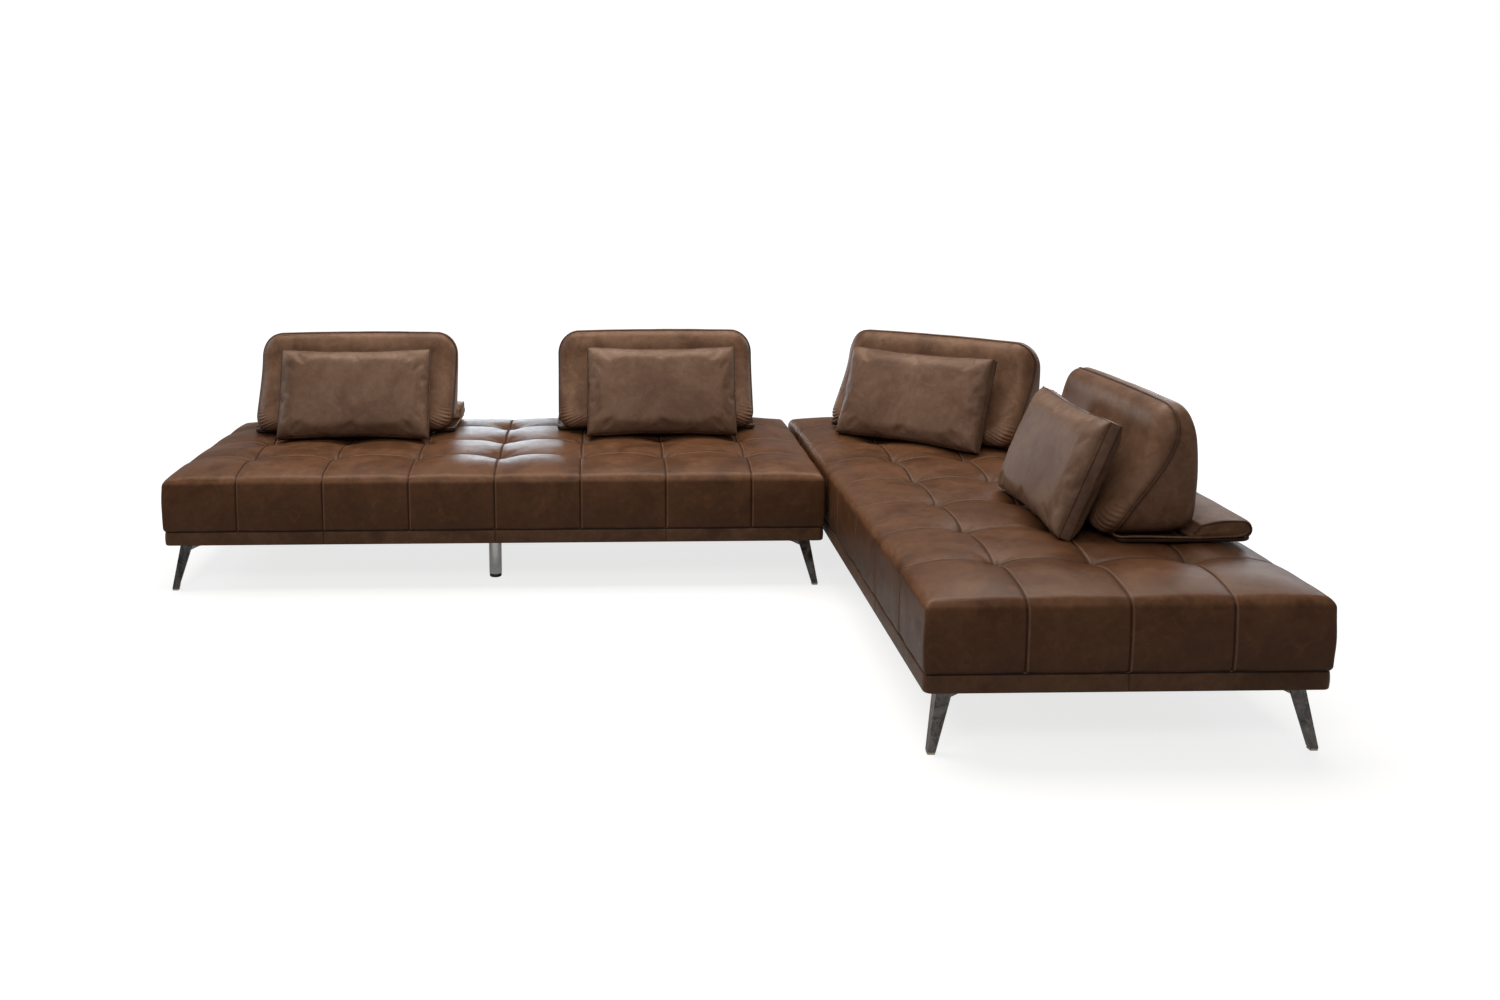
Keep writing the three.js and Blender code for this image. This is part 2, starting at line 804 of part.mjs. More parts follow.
function backCushionSolid() {
  const outline = backOutline();
  const half = backWidth / 2;
  const middleY = hingeBack * backMiddleShares[0];
  const middleZ = backTop * backMiddleShares[1];
  const mirrored = backStationShares.slice(0, -1).reverse().map((share) => 1 - share);
  const rings = [...backStationShares, ...mirrored].map((share) => {
    const x = share * backWidth - half;
    const beyond = Math.max(Math.abs(x) - (half - backCornerRadius), 0);
    const drop = backCornerRadius - Math.sqrt(backCornerRadius ** 2 - beyond ** 2);
    const crown = 1 - Math.pow(Math.abs(x) / half, backCrownPower);
    const shrink = (backEndShrink * drop) / backCornerRadius;
    return outline.map((point) => {
      const upper = Math.max(point.z - middleZ, 0) / (backTop - middleZ);
      const y = point.y + point.crown * crown;
      const pull = point.z > hingeHeight ? shrink : shrink * backFootPullShare;
      return [x, y + pull * Math.sign(middleY - point.y), point.z - drop * upper * upper];
    });
  });
  const cushion = capped(rings, rings[0].map(([, y, z]) => [y, z]));

  const slotHalf = panelThickness / 2 + touchGap;
  const slot = box(
    [-panelWidth / 2 - touchGap, hingeBack - slotHalf, -cutOverrun],
    [panelWidth / 2 + touchGap, hingeBack + slotHalf, backTop - panelTopMargin + touchGap],
  );
  const pockets = [-1, 1].flatMap((side) => {
    const x = side * earSpread;
    const round = bar(earRadius + swingGap, 2 * pocketHalfWidth, drumSides);
    const swept = hingeRound * Math.sin(THREE.MathUtils.degToRad(pocketDegrees)) + earNeck / 2;
    const armMiddle = (side * (armInner + armOuter)) / 2;
    const armHalf = armThickness / 2 + touchGap;
    return [
      box(
        [armMiddle - armHalf, hingeBack - armWidth / 2 - touchGap, hingeHeight],
        [armMiddle + armHalf, hingeBack + armWidth / 2 + touchGap, armTop + touchGap],
      ),
      round.translate(x, hingeBack, hingeHeight),
      box(
        [x - pocketHalfWidth, hingeBack - earNeck / 2 - swingGap, -cutOverrun],
        [x + pocketHalfWidth, hingeBack + swept + touchGap, hingeHeight],
      ),
    ];
  });
  return cutBy(solidOf(cushion), [slot, ...pockets]);
}

// Steel bracket: a plate on the board with two ears that hold the hinge pins
function bracketSolid() {
  const floor = boardThickness + touchGap;
  const half = bracketWidth / 2;
  const plateBack = hingeBack + earNeck / 2;
  const plate = box([-half, bracketFront, floor], [half, plateBack, floor + bracketThickness]);
  const outline = new THREE.Shape();
  const neck = Math.asin(earNeck / 2 / earRadius);
  outline.moveTo(hingeBack - earNeck / 2, floor);
  outline.lineTo(hingeBack + earNeck / 2, floor);
  outline.absarc(hingeBack, hingeHeight, earRadius, -Math.PI / 2 + neck, 1.5 * Math.PI - neck);
  const ears = [-1, 1].map((side) => plateUpright(outline, earThickness, side * earSpread));
  const boreRadius = (pinDiameter / 2 + touchGap) / Math.cos(Math.PI / pinSides);
  const bore = bar(boreRadius, 2 * bracketWidth, pinSides).translate(0, hingeBack, hingeHeight);
  return cutBy(joined([plate, ...ears]), [bore]);
}

// Extruded outline drawn as pairs of back and up, standing across X
function plateUpright(shape, thickness, x) {
  const settings = { depth: thickness, bevelEnabled: false, curveSegments: earSteps };
  const plate = new THREE.ExtrudeGeometry(shape, settings).rotateX(Math.PI / 2).rotateZ(Math.PI / 2);
  return plate.translate(x - thickness / 2, 0, 0);
}

// Steel frame inside the cushion: a panel with windows, and two arms with the round hinge
// drums and pins that turn in the bracket's ears
function backFrameSolid() {
  const half = panelWidth / 2;
  const top = backTop - panelTopMargin;
  const shape = roundedRectangle(-half, panelBottom, half, top, panelThickness, panelCorner);
  const panel = slab(shape, panelThickness).rotateX(Math.PI / 2);
  panel.translate(0, hingeBack + panelThickness / 2, 0);
  const windowWidth = (panelWidth - panelBar) / panelWindows - panelBar;
  const windows = [];
  for (let count = 0; count < panelWindows; count += 1) {
    const left = -half + panelBar + count * (windowWidth + panelBar);
    windows.push(box(
      [left, hingeBack - panelThickness, panelBottom + panelBar],
      [left + windowWidth, hingeBack + panelThickness, top - panelBar],
    ));
  }

  const pieces = [panel];
  for (const side of [-1, 1]) {
    const armX = (side * (armInner + armOuter)) / 2;
    const capX = armX + (side * drumLength) / 2;
    const arm = box(
      [armX - armThickness / 2, hingeBack - armWidth / 2, hingeHeight],
      [armX + armThickness / 2, hingeBack + armWidth / 2, armTop],
    );
    const drum = bar(drumRadius, armThickness, drumSides);
    const cap = bar(drumRadius - drumStep, drumLength, drumSides);
    const pinFrom = earSpread - earThickness;
    const pin = bar(pinDiameter / 2, armOuter - pinFrom, pinSides);
    pieces.push(arm);
    pieces.push(drum.translate(armX, hingeBack, hingeHeight));
    pieces.push(cap.translate(capX, hingeBack, hingeHeight));
    pieces.push(pin.translate((side * (pinFrom + armOuter)) / 2, hingeBack, hingeHeight));
  }
  return cutBy(joined(pieces), windows);
}

// Knife edge pillow standing on its lower edge: full in the middle, thin on all four
// seams, with sides that pull in between the corners
function pillowGeometry() {
  const columns = pillowStepShares.length;
  const rows = pillowStepAcrossShares.length;
  const bulge = (share) => Math.pow(4 * share * (1 - share), pillowPowerShare);
  const points = [];
  const indexOf = new Map();
  const corner = (side, column, row) => {
    const rim = column === 0 || row === 0 || column === columns - 1 || row === rows - 1;
    const key = `${rim ? 0 : side},${column},${row}`;
    if (!indexOf.has(key)) {
      const across = pillowStepShares[column];
      const up = pillowStepAcrossShares[row];
      const half = (pillowThickness / 2) * bulge(across) * bulge(up);
      const pullX = pillowPull * Math.sin(Math.PI * up) * (1 - 2 * across);
      const pullZ = pillowPull * Math.sin(Math.PI * across) * (1 - 2 * up);
      indexOf.set(key, points.length);
      points.push([(across - 0.5) * pillowWidth + pullX, side * half, up * pillowHeight + pullZ]);
    }
    return indexOf.get(key);
  };
  const triangles = [];
  for (const side of [-1, 1]) {
    for (let column = 0; column + 1 < columns; column += 1) {
      for (let row = 0; row + 1 < rows; row += 1) {
        const a = corner(side, column, row);
        const b = corner(side, column + 1, row);
        const c = corner(side, column + 1, row + 1);
        const d = corner(side, column, row + 1);
        triangles.push(...(side < 0 ? [a, b, c, a, c, d] : [a, c, b, a, d, c]));
      }
    }
  }
  return meshFrom(points, triangles);
}

// Corners and edge middles of a mesh, which stand for its surface when it meets another
function surfacePoints(geometry) {
  const place = geometry.attributes.position;
  const index = geometry.index.array;
  const points = [];
  for (let face = 0; face < index.length; face += 3) {
    for (let turn = 0; turn < 3; turn += 1) {
      const from = new THREE.Vector3().fromBufferAttribute(place, index[face + turn]);
      const to = new THREE.Vector3().fromBufferAttribute(place, index[face + ((turn + 1) % 3)]);
      points.push(from, from.clone().lerp(to, 0.5));
    }
  }
  return points;
}

// How far a piece can move one way until it meets the other, measured both from its own
// points and back from the other's
function roomTowards(way, piece, other) {
  const caster = new THREE.Raycaster();
  const target = new THREE.Mesh();
  target.material = new THREE.MeshStandardMaterial({ side: THREE.DoubleSide });
  let room = Infinity;
  const measure = (points, surface, ray) => {
    target.geometry = surface;
    for (const point of points) {
      caster.set(point, ray);
      const [hit] = caster.intersectObject(target, false);
      if (hit) {
        room = Math.min(room, hit.distance);
      }
    }
  };
  measure(surfacePoints(piece), other, way);
  measure(surfacePoints(other), piece, way.clone().negate());
  return room;
}

const sofa = new THREE.Group();

function addPiece(parent, name, geometry, look) {
  const material = new THREE.MeshStandardMaterial(look);
  const mesh = new THREE.Mesh(merged(geometry), material);
  mesh.name = name;
  parent.add(mesh);
  return mesh;
}

// One seat module with its front left corner at the group's origin
function addModule(parent, name, endPanel) {
  const seamsAlong = seamLines(endPanel, panelPitch, panelsAlong);
  const seamsDeep = seamLines(edgePanel, panelDepthPitch, panelsDeep);
  const length = seamsAlong[seamsAlong.length - 1];
  const centreX = length / 2 + postShift;
  addPiece(parent, `${name}_frame`, geometryOf(frameSolid(length, centreX)), finishes.timber);
  addPiece(parent, `${name}_rail_wrap`, railGeometry(length), finishes.railLeather);
  addPiece(parent, `${name}_webbing`, geometryOf(webbingSolid(length)), finishes.webbing);
  addPiece(parent, `${name}_foam`, foamGeometry(length), finishes.foam);
  const cover = geometryOf(coverSolid(seamsAlong, seamsDeep));
  addPiece(parent, `${name}_seat_cover`, cover, finishes.leather);

  const leg = geometryOf(legSolid());
  const corners = [
    { place: "front_left", x: 0, y: 0 },
    { place: "front_right", x: length, y: 0 },
    { place: "rear_right", x: length, y: moduleDepth },
    { place: "rear_left", x: 0, y: moduleDepth },
  ];
  corners.forEach(({ place, x, y }, quarter) => {
    const legMesh = addPiece(parent, `${name}_leg_${place}`, leg, finishes.castMetal);
    const glide = addPiece(parent, `${name}_glide_${place}`, glideGeometry(), finishes.felt);
    for (const piece of [legMesh, glide]) {
      piece.position.set(x, y, 0);
      piece.rotation.z = (quarter * Math.PI) / 2;
    }
  });
  for (const [place, y] of [["front", postInset], ["rear", moduleDepth - postInset]]) {
    const post = addPiece(parent, `${name}_post_${place}`, postGeometry(), finishes.chrome);
    const foot = addPiece(parent, `${name}_post_foot_${place}`, postFootGeometry(), finishes.rubber);
    post.position.set(centreX, y, 0);
    foot.position.set(centreX, y, 0);
  }
}

// One backrest with the middle of its front lower edge at the group's origin. Its pillow
// stands at the level of the seat's crowns, so it clears them when the backrest slides.
function addBackrest(parent, { name, pillow: pillowShare }) {
  addPiece(parent, `${name}_base_board`, boardGeometry(), finishes.boardLeather);
  addPiece(parent, `${name}_base_pad`, padGeometry(), finishes.leather);
  addPiece(parent, `${name}_hinge_bracket`, geometryOf(bracketSolid()), finishes.steel);
  addPiece(parent, `${name}_steel_frame`, geometryOf(backFrameSolid()), finishes.steel);
  const cushionShape = geometryOf(backCushionSolid());
  const cushion = addPiece(parent, `${name}_cushion`, cushionShape, finishes.leather);
  const pillow = addPiece(parent, `${name}_pillow`, pillowGeometry(), finishes.pillowLeather);
  pillow.rotation.x = -pillowLean;
  pillow.position.set(pillowShare * backWidth, -backWidth, 0);
  leanOn(cushion, pillow);
}

// Moves a pillow back until it leans on its cushion
function leanOn(cushion, pillow) {
  pillow.updateMatrix();
  const placed = pillow.geometry.clone().applyMatrix4(pillow.matrix);
  const room = roomTowards(new THREE.Vector3(0, 1, 0), placed, cushion.geometry);
  pillow.position.y += room - pillowRestGap;
}

const plan = new THREE.Group();
const spanX = longLength + moduleGap + moduleDepth;
plan.position.set(-spanX / 2, sideLength / 2 - moduleDepth, 0);
sofa.add(plan);

const longModule = new THREE.Group();
addModule(longModule, "long", longEndPanel);
plan.add(longModule);

const sideModule = new THREE.Group();
addModule(sideModule, "side", sideEndPanel);
sideModule.position.set(longLength + moduleGap, moduleDepth, 0);
sideModule.rotation.z = -Math.PI / 2;
plan.add(sideModule);

const tongue = addPiece(plan, "link_tongue", tongueGeometry(), finishes.steel);
tongue.position.set(longLength, linkInset, 0);
const catchPiece = addPiece(plan, "link_catch", geometryOf(catchSolid()), finishes.steel);
catchPiece.position.set(longLength + moduleGap + railInset, linkInset, 0);

const [first, second, third, fourth] = backrestShares;
const places = [
  [longModule, longLength, [first, second]],
  [sideModule, sideLength, [third, fourth]],
];
for (const [seat, length, backrests] of places) {
  for (const backrest of backrests) {
    const group = new THREE.Group();
    group.position.set(backrest.along * length, backrest.across * moduleDepth, seatPlane);
    group.rotation.z = THREE.MathUtils.degToRad(backrest.turn);
    addBackrest(group, backrest);
    seat.add(group);
  }
}

export default sofa;
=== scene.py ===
# %% [markdown]
# # A tufted leather corner sofa
# The real sofa is two low seat modules set in an L, four backrests that stand on them, and
# four loose pillows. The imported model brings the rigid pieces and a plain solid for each
# soft one. This lesson dresses it: every soft piece is worked out as a surface with numpy,
# the metal pieces get finer forms, and each finish is built from nodes.

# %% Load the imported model
import json
import math

import bmesh
import bpy
import numpy as np
from mathutils import Matrix, Vector


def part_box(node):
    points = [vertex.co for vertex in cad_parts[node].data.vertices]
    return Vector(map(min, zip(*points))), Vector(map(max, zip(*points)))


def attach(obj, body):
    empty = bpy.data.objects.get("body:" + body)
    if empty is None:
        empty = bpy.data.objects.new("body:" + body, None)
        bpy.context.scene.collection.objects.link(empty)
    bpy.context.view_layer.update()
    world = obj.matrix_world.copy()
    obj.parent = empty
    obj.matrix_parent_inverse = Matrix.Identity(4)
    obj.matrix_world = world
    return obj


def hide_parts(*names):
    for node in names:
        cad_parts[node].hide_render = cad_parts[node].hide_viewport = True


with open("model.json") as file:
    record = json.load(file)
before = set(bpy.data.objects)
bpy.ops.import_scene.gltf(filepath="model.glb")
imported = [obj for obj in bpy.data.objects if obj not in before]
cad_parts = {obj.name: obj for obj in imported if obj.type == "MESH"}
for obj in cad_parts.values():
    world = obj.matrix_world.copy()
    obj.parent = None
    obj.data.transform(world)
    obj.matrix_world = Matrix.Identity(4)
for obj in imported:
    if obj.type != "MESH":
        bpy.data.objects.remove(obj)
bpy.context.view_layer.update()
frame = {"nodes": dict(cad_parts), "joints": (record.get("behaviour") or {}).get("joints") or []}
nodes = frame["nodes"]

# %% [markdown]
# ## Helpers that turn arrays into meshes
# A surface here is a grid of points, stored row after row. The faces of such a grid follow
# from its counts alone, so they are worked out as one array too. Points that several
# patches share are merged afterwards, and then the faces are turned outward.

# %% Grids, merging and smooth meshes
tiny = 1e-9
merge_distance = 2e-6


def grid_quads(rows, columns, close_rows=False, close_columns=False):
    """Quads between neighbours in a grid of points, wrapping round where a side closes."""
    row = np.arange(rows if close_rows else rows - 1)[:, None]
    column = np.arange(columns if close_columns else columns - 1)[None, :]
    next_row = (row + 1) % rows
    next_column = (column + 1) % columns
    here = row * columns
    above = next_row * columns
    corners = [here + column, here + next_column, above + next_column, above + column]
    return np.stack(corners, axis=-1).reshape(-1, 4)


def fan(centre, ring, flip=False):
    """Triangles from one point to every pair of neighbours in a closed ring of points."""
    beyond = np.roll(ring, -1)
    pair = (beyond, ring) if flip else (ring, beyond)
    return np.stack([np.full(len(ring), centre), *pair], axis=-1)


def new_piece(name, points, faces, marks=None):
    """A smooth mesh object from points (n, 3) and arrays of faces. Marks are one value per
    point, kept as attributes that a material can read."""
    corners = np.concatenate([group.ravel() for group in faces])
    counts = np.concatenate([np.full(len(group), group.shape[1]) for group in faces])
    starts = np.concatenate([[0], np.cumsum(counts)[:-1]])
    mesh = bpy.data.meshes.new(name)
    mesh.vertices.add(len(points))
    mesh.vertices.foreach_set("co", np.asarray(points, np.float32).ravel())
    mesh.loops.add(len(corners))
    mesh.loops.foreach_set("vertex_index", corners.astype(np.int32))
    mesh.polygons.add(len(counts))
    mesh.polygons.foreach_set("loop_start", starts.astype(np.int32))
    mesh.update(calc_edges=True)
    for mark, values in (marks or {}).items():
        attribute = mesh.attributes.new(mark, "FLOAT", "POINT")
        attribute.data.foreach_set("value", np.asarray(values, np.float32).ravel())
    joined = bmesh.new()
    joined.from_mesh(mesh)
    bmesh.ops.remove_doubles(joined, verts=joined.verts, dist=merge_distance)
    bmesh.ops.recalc_face_normals(joined, faces=joined.faces)
    joined.to_mesh(mesh)
    joined.free()
    mesh.polygons.foreach_set("use_smooth", np.ones(len(mesh.polygons), bool))
    piece = bpy.data.objects.new(name, mesh)
    bpy.context.scene.collection.objects.link(piece)
    return piece


def patches_piece(name, patches, marks=None):
    """A piece from several grids of points of shape (rows, columns, 3)."""
    faces, start = [], 0
    for patch in patches:
        faces.append(start + grid_quads(*patch.shape[:2]))
        start += patch.shape[0] * patch.shape[1]
    points = np.concatenate([patch.reshape(-1, 3) for patch in patches])
    return new_piece(name, points, faces, marks)


def rings_piece(name, rings, marks=None):
    """A closed piece from rings of shape (rings, points, 3), capped by a point at each end."""
    count, around = rings.shape[:2]
    ends = rings[[0, -1]].mean(axis=1)
    points = np.concatenate([rings.reshape(-1, 3), ends])
    first = np.arange(around)
    last = (count - 1) * around + first
    faces = [
        grid_quads(count, around, close_columns=True),
        fan(count * around, first, flip=True),
        fan(count * around + 1, last),
    ]
    if marks:
        marks = {
            mark: np.concatenate([values.ravel(), values[[0, -1]].mean(axis=1)])
            for mark, values in marks.items()
        }
    return new_piece(name, points, faces, marks)


def settle(piece, body, slot, material, *replaced):
    """Gives a piece its finish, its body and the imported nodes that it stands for."""
    piece.data.materials.clear()
    piece.data.materials.append(material)
    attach(piece, body)
    if replaced:
        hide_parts(*replaced)
    return piece


# %% [markdown]
# Leather is never perfectly even. A sum of a few plane waves in random directions gives a
# gentle unevenness that is the same on every run, because its seed is fixed.

# %% Gentle unevenness
wave_count = 7
wave_gain = 1.7


def ripple(a, b, wavelength, seed):
    """Sum of plane waves of about one length in random directions, roughly from -1 to 1."""
    chance = np.random.default_rng(seed)
    turn = chance.uniform(0, 2 * np.pi, wave_count)
    phase = chance.uniform(0, 2 * np.pi, wave_count)
    pace = 2 * np.pi / (wavelength * chance.uniform(0.7, 1.4, wave_count))
    along = a[..., None] * np.cos(turn) + b[..., None] * np.sin(turn)
    return np.sin(pace * along + phase).mean(axis=-1) * wave_gain


# %% [markdown]
# ## The leather
# The hide is a waxed pull-up leather: where it is stretched over a crown the wax thins and
# it turns lighter. The cloudy tone, the fine grain and the small wrinkles are the same on
# every leather piece, so they are one node group, placed in each leather with its own
# colours. Three masks come from the meshes: the crown mask lightens stretched leather and
# also carries painted highlights on rounded edges and rolls, the shade mask is painted shade
# in seams, tufts and recesses, and the lip mark is a painted tan highlight beside the seams.

# %% A short way to add nodes
def add(tree, kind, settings=None, **inputs):
    """A new node. Inputs are values or sockets; an underscore stands for a space, and a
    name of i and a number is the input at that place."""
    node = tree.nodes.new(kind)
    for key, value in (settings or {}).items():
        setattr(node, key, value)
    for key, value in inputs.items():
        is_index = key[0] == "i" and key[1:].isdigit()
        socket = node.inputs[int(key[1:])] if is_index else node.inputs[key.replace("_", " ")]
        if isinstance(value, bpy.types.NodeSocket):
            tree.links.new(value, socket)
        else:
            socket.default_value = value
    return node


def blend_colours(tree, share, first, second, mode="MIX"):
    """Mix of two colours by a share."""
    node = add(tree, "ShaderNodeMix", {"data_type": "RGBA", "blend_type": mode})
    for place, value in ((0, share), (6, first), (7, second)):
        if isinstance(value, bpy.types.NodeSocket):
            tree.links.new(value, node.inputs[place])
        else:
            node.inputs[place].default_value = value
    return node.outputs[2]


def maths(tree, operation, *values):
    """One sum on values or sockets."""
    inputs = {f"i{place}": value for place, value in enumerate(values)}
    return add(tree, "ShaderNodeMath", {"operation": operation}, **inputs).outputs[0]


def spread(tree, value, low, high, to_low=0.0, to_high=1.0):
    """A value's range mapped to another range, held inside it."""
    inputs = {"i0": value, "i1": low, "i2": high, "i3": to_low, "i4": to_high}
    return add(tree, "ShaderNodeMapRange", **inputs).outputs[0]


def new_group(name, inputs, outputs):
    """An empty node group with named sockets, and its input and output nodes."""
    group = bpy.data.node_groups.new(name, "ShaderNodeTree")
    for direction, sockets in (("INPUT", inputs), ("OUTPUT", outputs)):
        for label, kind in sockets:
            group.interface.new_socket(label, in_out=direction, socket_type=f"NodeSocket{kind}")
    return group, group.nodes.new("NodeGroupInput"), group.nodes.new("NodeGroupOutput")


# %% The pull-up leather group
cloud_scale = 5.5
mottle_scale = 42.0
streak_scale = 15.0
wrinkle_scale = 120.0
grain_scale = 620.0

hide, hide_in, hide_out = new_group(
    "pull up leather",
    [("Base", "Color"), ("Light", "Color"), ("Dark", "Color"), ("Worn", "Color"),
     ("Crown", "Float"), ("Crease", "Float"), ("Wear", "Float"), ("Roughness", "Float")],
    [("Color", "Color"), ("Roughness", "Float"), ("Height", "Float")],
)
where = add(hide, "ShaderNodeTexCoord").outputs["Object"]
clouds = add(hide, "ShaderNodeTexNoise", Vector=where, Scale=cloud_scale, Detail=5.0,
             Roughness=0.6, Distortion=0.6).outputs[0]
mottle = add(hide, "ShaderNodeTexNoise", Vector=where, Scale=mottle_scale, Detail=4.0,
             Roughness=0.65, Distortion=0.3).outputs[0]
streaks = add(hide, "ShaderNodeTexNoise", Vector=where, Scale=streak_scale, Detail=6.0,
              Roughness=0.62, Distortion=1.6).outputs[0]
wrinkles = add(hide, "ShaderNodeTexNoise", Vector=where, Scale=wrinkle_scale, Detail=3.0,
               Roughness=0.6, Distortion=0.8).outputs[0]
cells = add(hide, "ShaderNodeTexVoronoi", {"feature": "DISTANCE_TO_EDGE"}, Vector=where,
            Scale=grain_scale, Randomness=1.0).outputs["Distance"]
# Light share: the cloudy tone, and the crown mask, which is stretched leather and painted highlight.
light_share = maths(
    hide, "ADD",
    spread(hide, clouds, 0.42, 0.72, 0.0, 0.5),
    maths(hide, "MULTIPLY", hide_in.outputs["Crown"], spread(hide, streaks, 0.3, 0.7, 0.15, 0.75)),
)
# Dark share: the cloudy tone, and painted shade where the shade mask is set.
dark_share = maths(
    hide, "MAXIMUM",
    spread(hide, clouds, 0.5, 0.28, 0.0, 0.5),
    maths(hide, "MULTIPLY", hide_in.outputs["Crease"], 0.8),
)
tone = blend_colours(hide, light_share, hide_in.outputs["Base"], hide_in.outputs["Light"])
tone = blend_colours(hide, dark_share, tone, hide_in.outputs["Dark"])
mottled_share = spread(hide, mottle, 0.35, 0.7, 0.0, 0.32)
tone = blend_colours(hide, mottled_share, tone, hide_in.outputs["Dark"])
streaked_share = spread(hide, streaks, 0.56, 0.76, 0.0, 0.34)
tone = blend_colours(hide, streaked_share, tone, hide_in.outputs["Light"])
# The lip mark paints a tan highlight on the ridge beside each seam, broken up by the streaks.
lip_sheen_streaks = spread(hide, streaks, 0.3, 0.65, 0.45, 0.95)
lip_sheen_share = maths(hide, "MULTIPLY", hide_in.outputs["Wear"], lip_sheen_streaks)
tone = blend_colours(hide, lip_sheen_share, tone, hide_in.outputs["Worn"])
hide.links.new(tone, hide_out.inputs["Color"])
gloss_change = maths(
    hide, "ADD",
    spread(hide, streaks, 0.3, 0.7, -0.05, 0.07),
    maths(hide, "MULTIPLY", hide_in.outputs["Crease"], 0.12),
)
skin_roughness = maths(hide, "ADD", hide_in.outputs["Roughness"], gloss_change)
hide.links.new(skin_roughness, hide_out.inputs["Roughness"])
grain_height = spread(hide, cells, 0.0, 0.25, 0.0, 0.28)
wrinkle_height = maths(hide, "MULTIPLY", wrinkles, 0.55)
soft_height = maths(hide, "MULTIPLY", mottle, 0.9)
height = maths(hide, "ADD", maths(hide, "ADD", grain_height, wrinkle_height), soft_height)
hide.links.new(height, hide_out.inputs["Height"])
print("leather group nodes:", len(hide.nodes))


# %% [markdown]
# Each leather places the group once, with its base tone, the lighter tone of its crowns
# and painted highlights, the darker tone of its painted shade, and its shine. The specular
# level is low and warm, because wax soaks up the white of a room: with a plain gloss the dark
# hide looks grey from the front.

# %% A leather from the group
# The tan of the painted highlight on the lip beside each seam.
lip_sheen_tan = (0.26, 0.145, 0.080)
grain_relief = 0.0006
grain_strength = 0.6
leather_specular = 0.31
leather_tint = (0.90, 0.68, 0.56)


def new_material(name):
    """An empty material, its node tree and its main shader."""
    material = bpy.data.materials.new(name)
    material.use_nodes = True
    tree = material.node_tree
    return material, tree, tree.nodes["Principled BSDF"]


def leather(name, base, light, dark, roughness):
    """A leather with its own three tones and its own shine."""
    material, tree, shader = new_material(name)
    crown, crease, wear = (
        add(tree, "ShaderNodeAttribute", {"attribute_name": mark}).outputs["Fac"]
        for mark in ("crown", "crease", "wear")
    )
    skin = add(tree, "ShaderNodeGroup", {"node_tree": hide}, Base=(*base, 1), Light=(*light, 1),
               Dark=(*dark, 1), Worn=(*lip_sheen_tan, 1), Crown=crown, Crease=crease, Wear=wear,
               Roughness=roughness)
    bump = add(tree, "ShaderNodeBump", Strength=grain_strength, Distance=grain_relief,
               Height=skin.outputs["Height"])
    tree.links.new(skin.outputs["Color"], shader.inputs["Base Color"])
    tree.links.new(skin.outputs["Roughness"], shader.inputs["Roughness"])
    tree.links.new(bump.outputs["Normal"], shader.inputs["Normal"])
    shader.inputs["Specular IOR Level"].default_value = leather_specular
    shader.inputs["Specular Tint"].default_value = (*leather_tint, 1)
    return material


# %% The eight leathers, as base, light and dark tone and roughness
seat_leather = leather("seat leather", (0.090, 0.036, 0.015), (0.172, 0.078, 0.037),
                       (0.022, 0.008, 0.004), 0.35)
back_leather = leather("backrest leather", (0.118, 0.056, 0.029), (0.215, 0.120, 0.074),
                       (0.034, 0.014, 0.007), 0.35)
pillow_leather = leather("pillow leather", (0.130, 0.070, 0.043), (0.205, 0.128, 0.088),
                         (0.055, 0.026, 0.015), 0.37)
pad_leather = leather("base pad leather", (0.115, 0.052, 0.026), (0.235, 0.125, 0.070),
                      (0.030, 0.012, 0.006), 0.50)
# The rail leather is the seat's hide in darker tones: painted shade low down on the sofa.
rail_leather = leather("rail leather", (0.072, 0.031, 0.015), (0.140, 0.070, 0.038),
                       (0.018, 0.008, 0.004), 0.42)
board_leather = leather("board leather", (0.030, 0.013, 0.007), (0.060, 0.030, 0.018),
                        (0.010, 0.005, 0.003), 0.5)
piping_leather = leather("piping leather", (0.046, 0.019, 0.010), (0.105, 0.052, 0.029),
                         (0.014, 0.006, 0.003), 0.45)
welt_leather = leather("welt leather", (0.110, 0.056, 0.031), (0.240, 0.140, 0.085),
                       (0.030, 0.013, 0.007), 0.48)
print("materials with leathers:", len(bpy.data.materials))

# %% [markdown]
# ## Metal, timber, foam and thread
# The legs are polished castings with faint streaks, the posts are chromed tube, and the
# pieces under the seats show only from below. Each still gets a finish of its own, because
# a single flat colour never looks like a material.


# %% Metals
def metal(name, dark, pale, low_rough, high_rough, scale):
    """A bare metal whose tone and shine wander between two values in soft streaks."""
    material, tree, shader = new_material(name)
    place = add(tree, "ShaderNodeTexCoord").outputs["Object"]
    streak = add(tree, "ShaderNodeTexNoise", Vector=place, Scale=scale, Detail=6.0,
                 Roughness=0.65, Distortion=1.2).outputs[0]
    colour = blend_colours(tree, spread(tree, streak, 0.35, 0.7), (*dark, 1), (*pale, 1))
    tree.links.new(colour, shader.inputs["Base Color"])
    roughness = spread(tree, streak, 0.3, 0.75, low_rough, high_rough)
    tree.links.new(roughness, shader.inputs["Roughness"])
    bump = add(tree, "ShaderNodeBump", Strength=0.15, Distance=0.0002, Height=streak)
    tree.links.new(bump.outputs["Normal"], shader.inputs["Normal"])
    shader.inputs["Metallic"].default_value = 1.0
    return material


cast_metal = metal("polished cast metal", (0.070, 0.065, 0.060), (0.28, 0.262, 0.244),
                   0.08, 0.20, 28.0)
chrome = metal("chromed tube", (0.64, 0.635, 0.63), (0.80, 0.795, 0.79), 0.04, 0.09, 12.0)
steel = metal("zinc plated steel", (0.30, 0.31, 0.33), (0.48, 0.49, 0.51), 0.32, 0.48, 60.0)
print("metals:", cast_metal.name, chrome.name, steel.name)


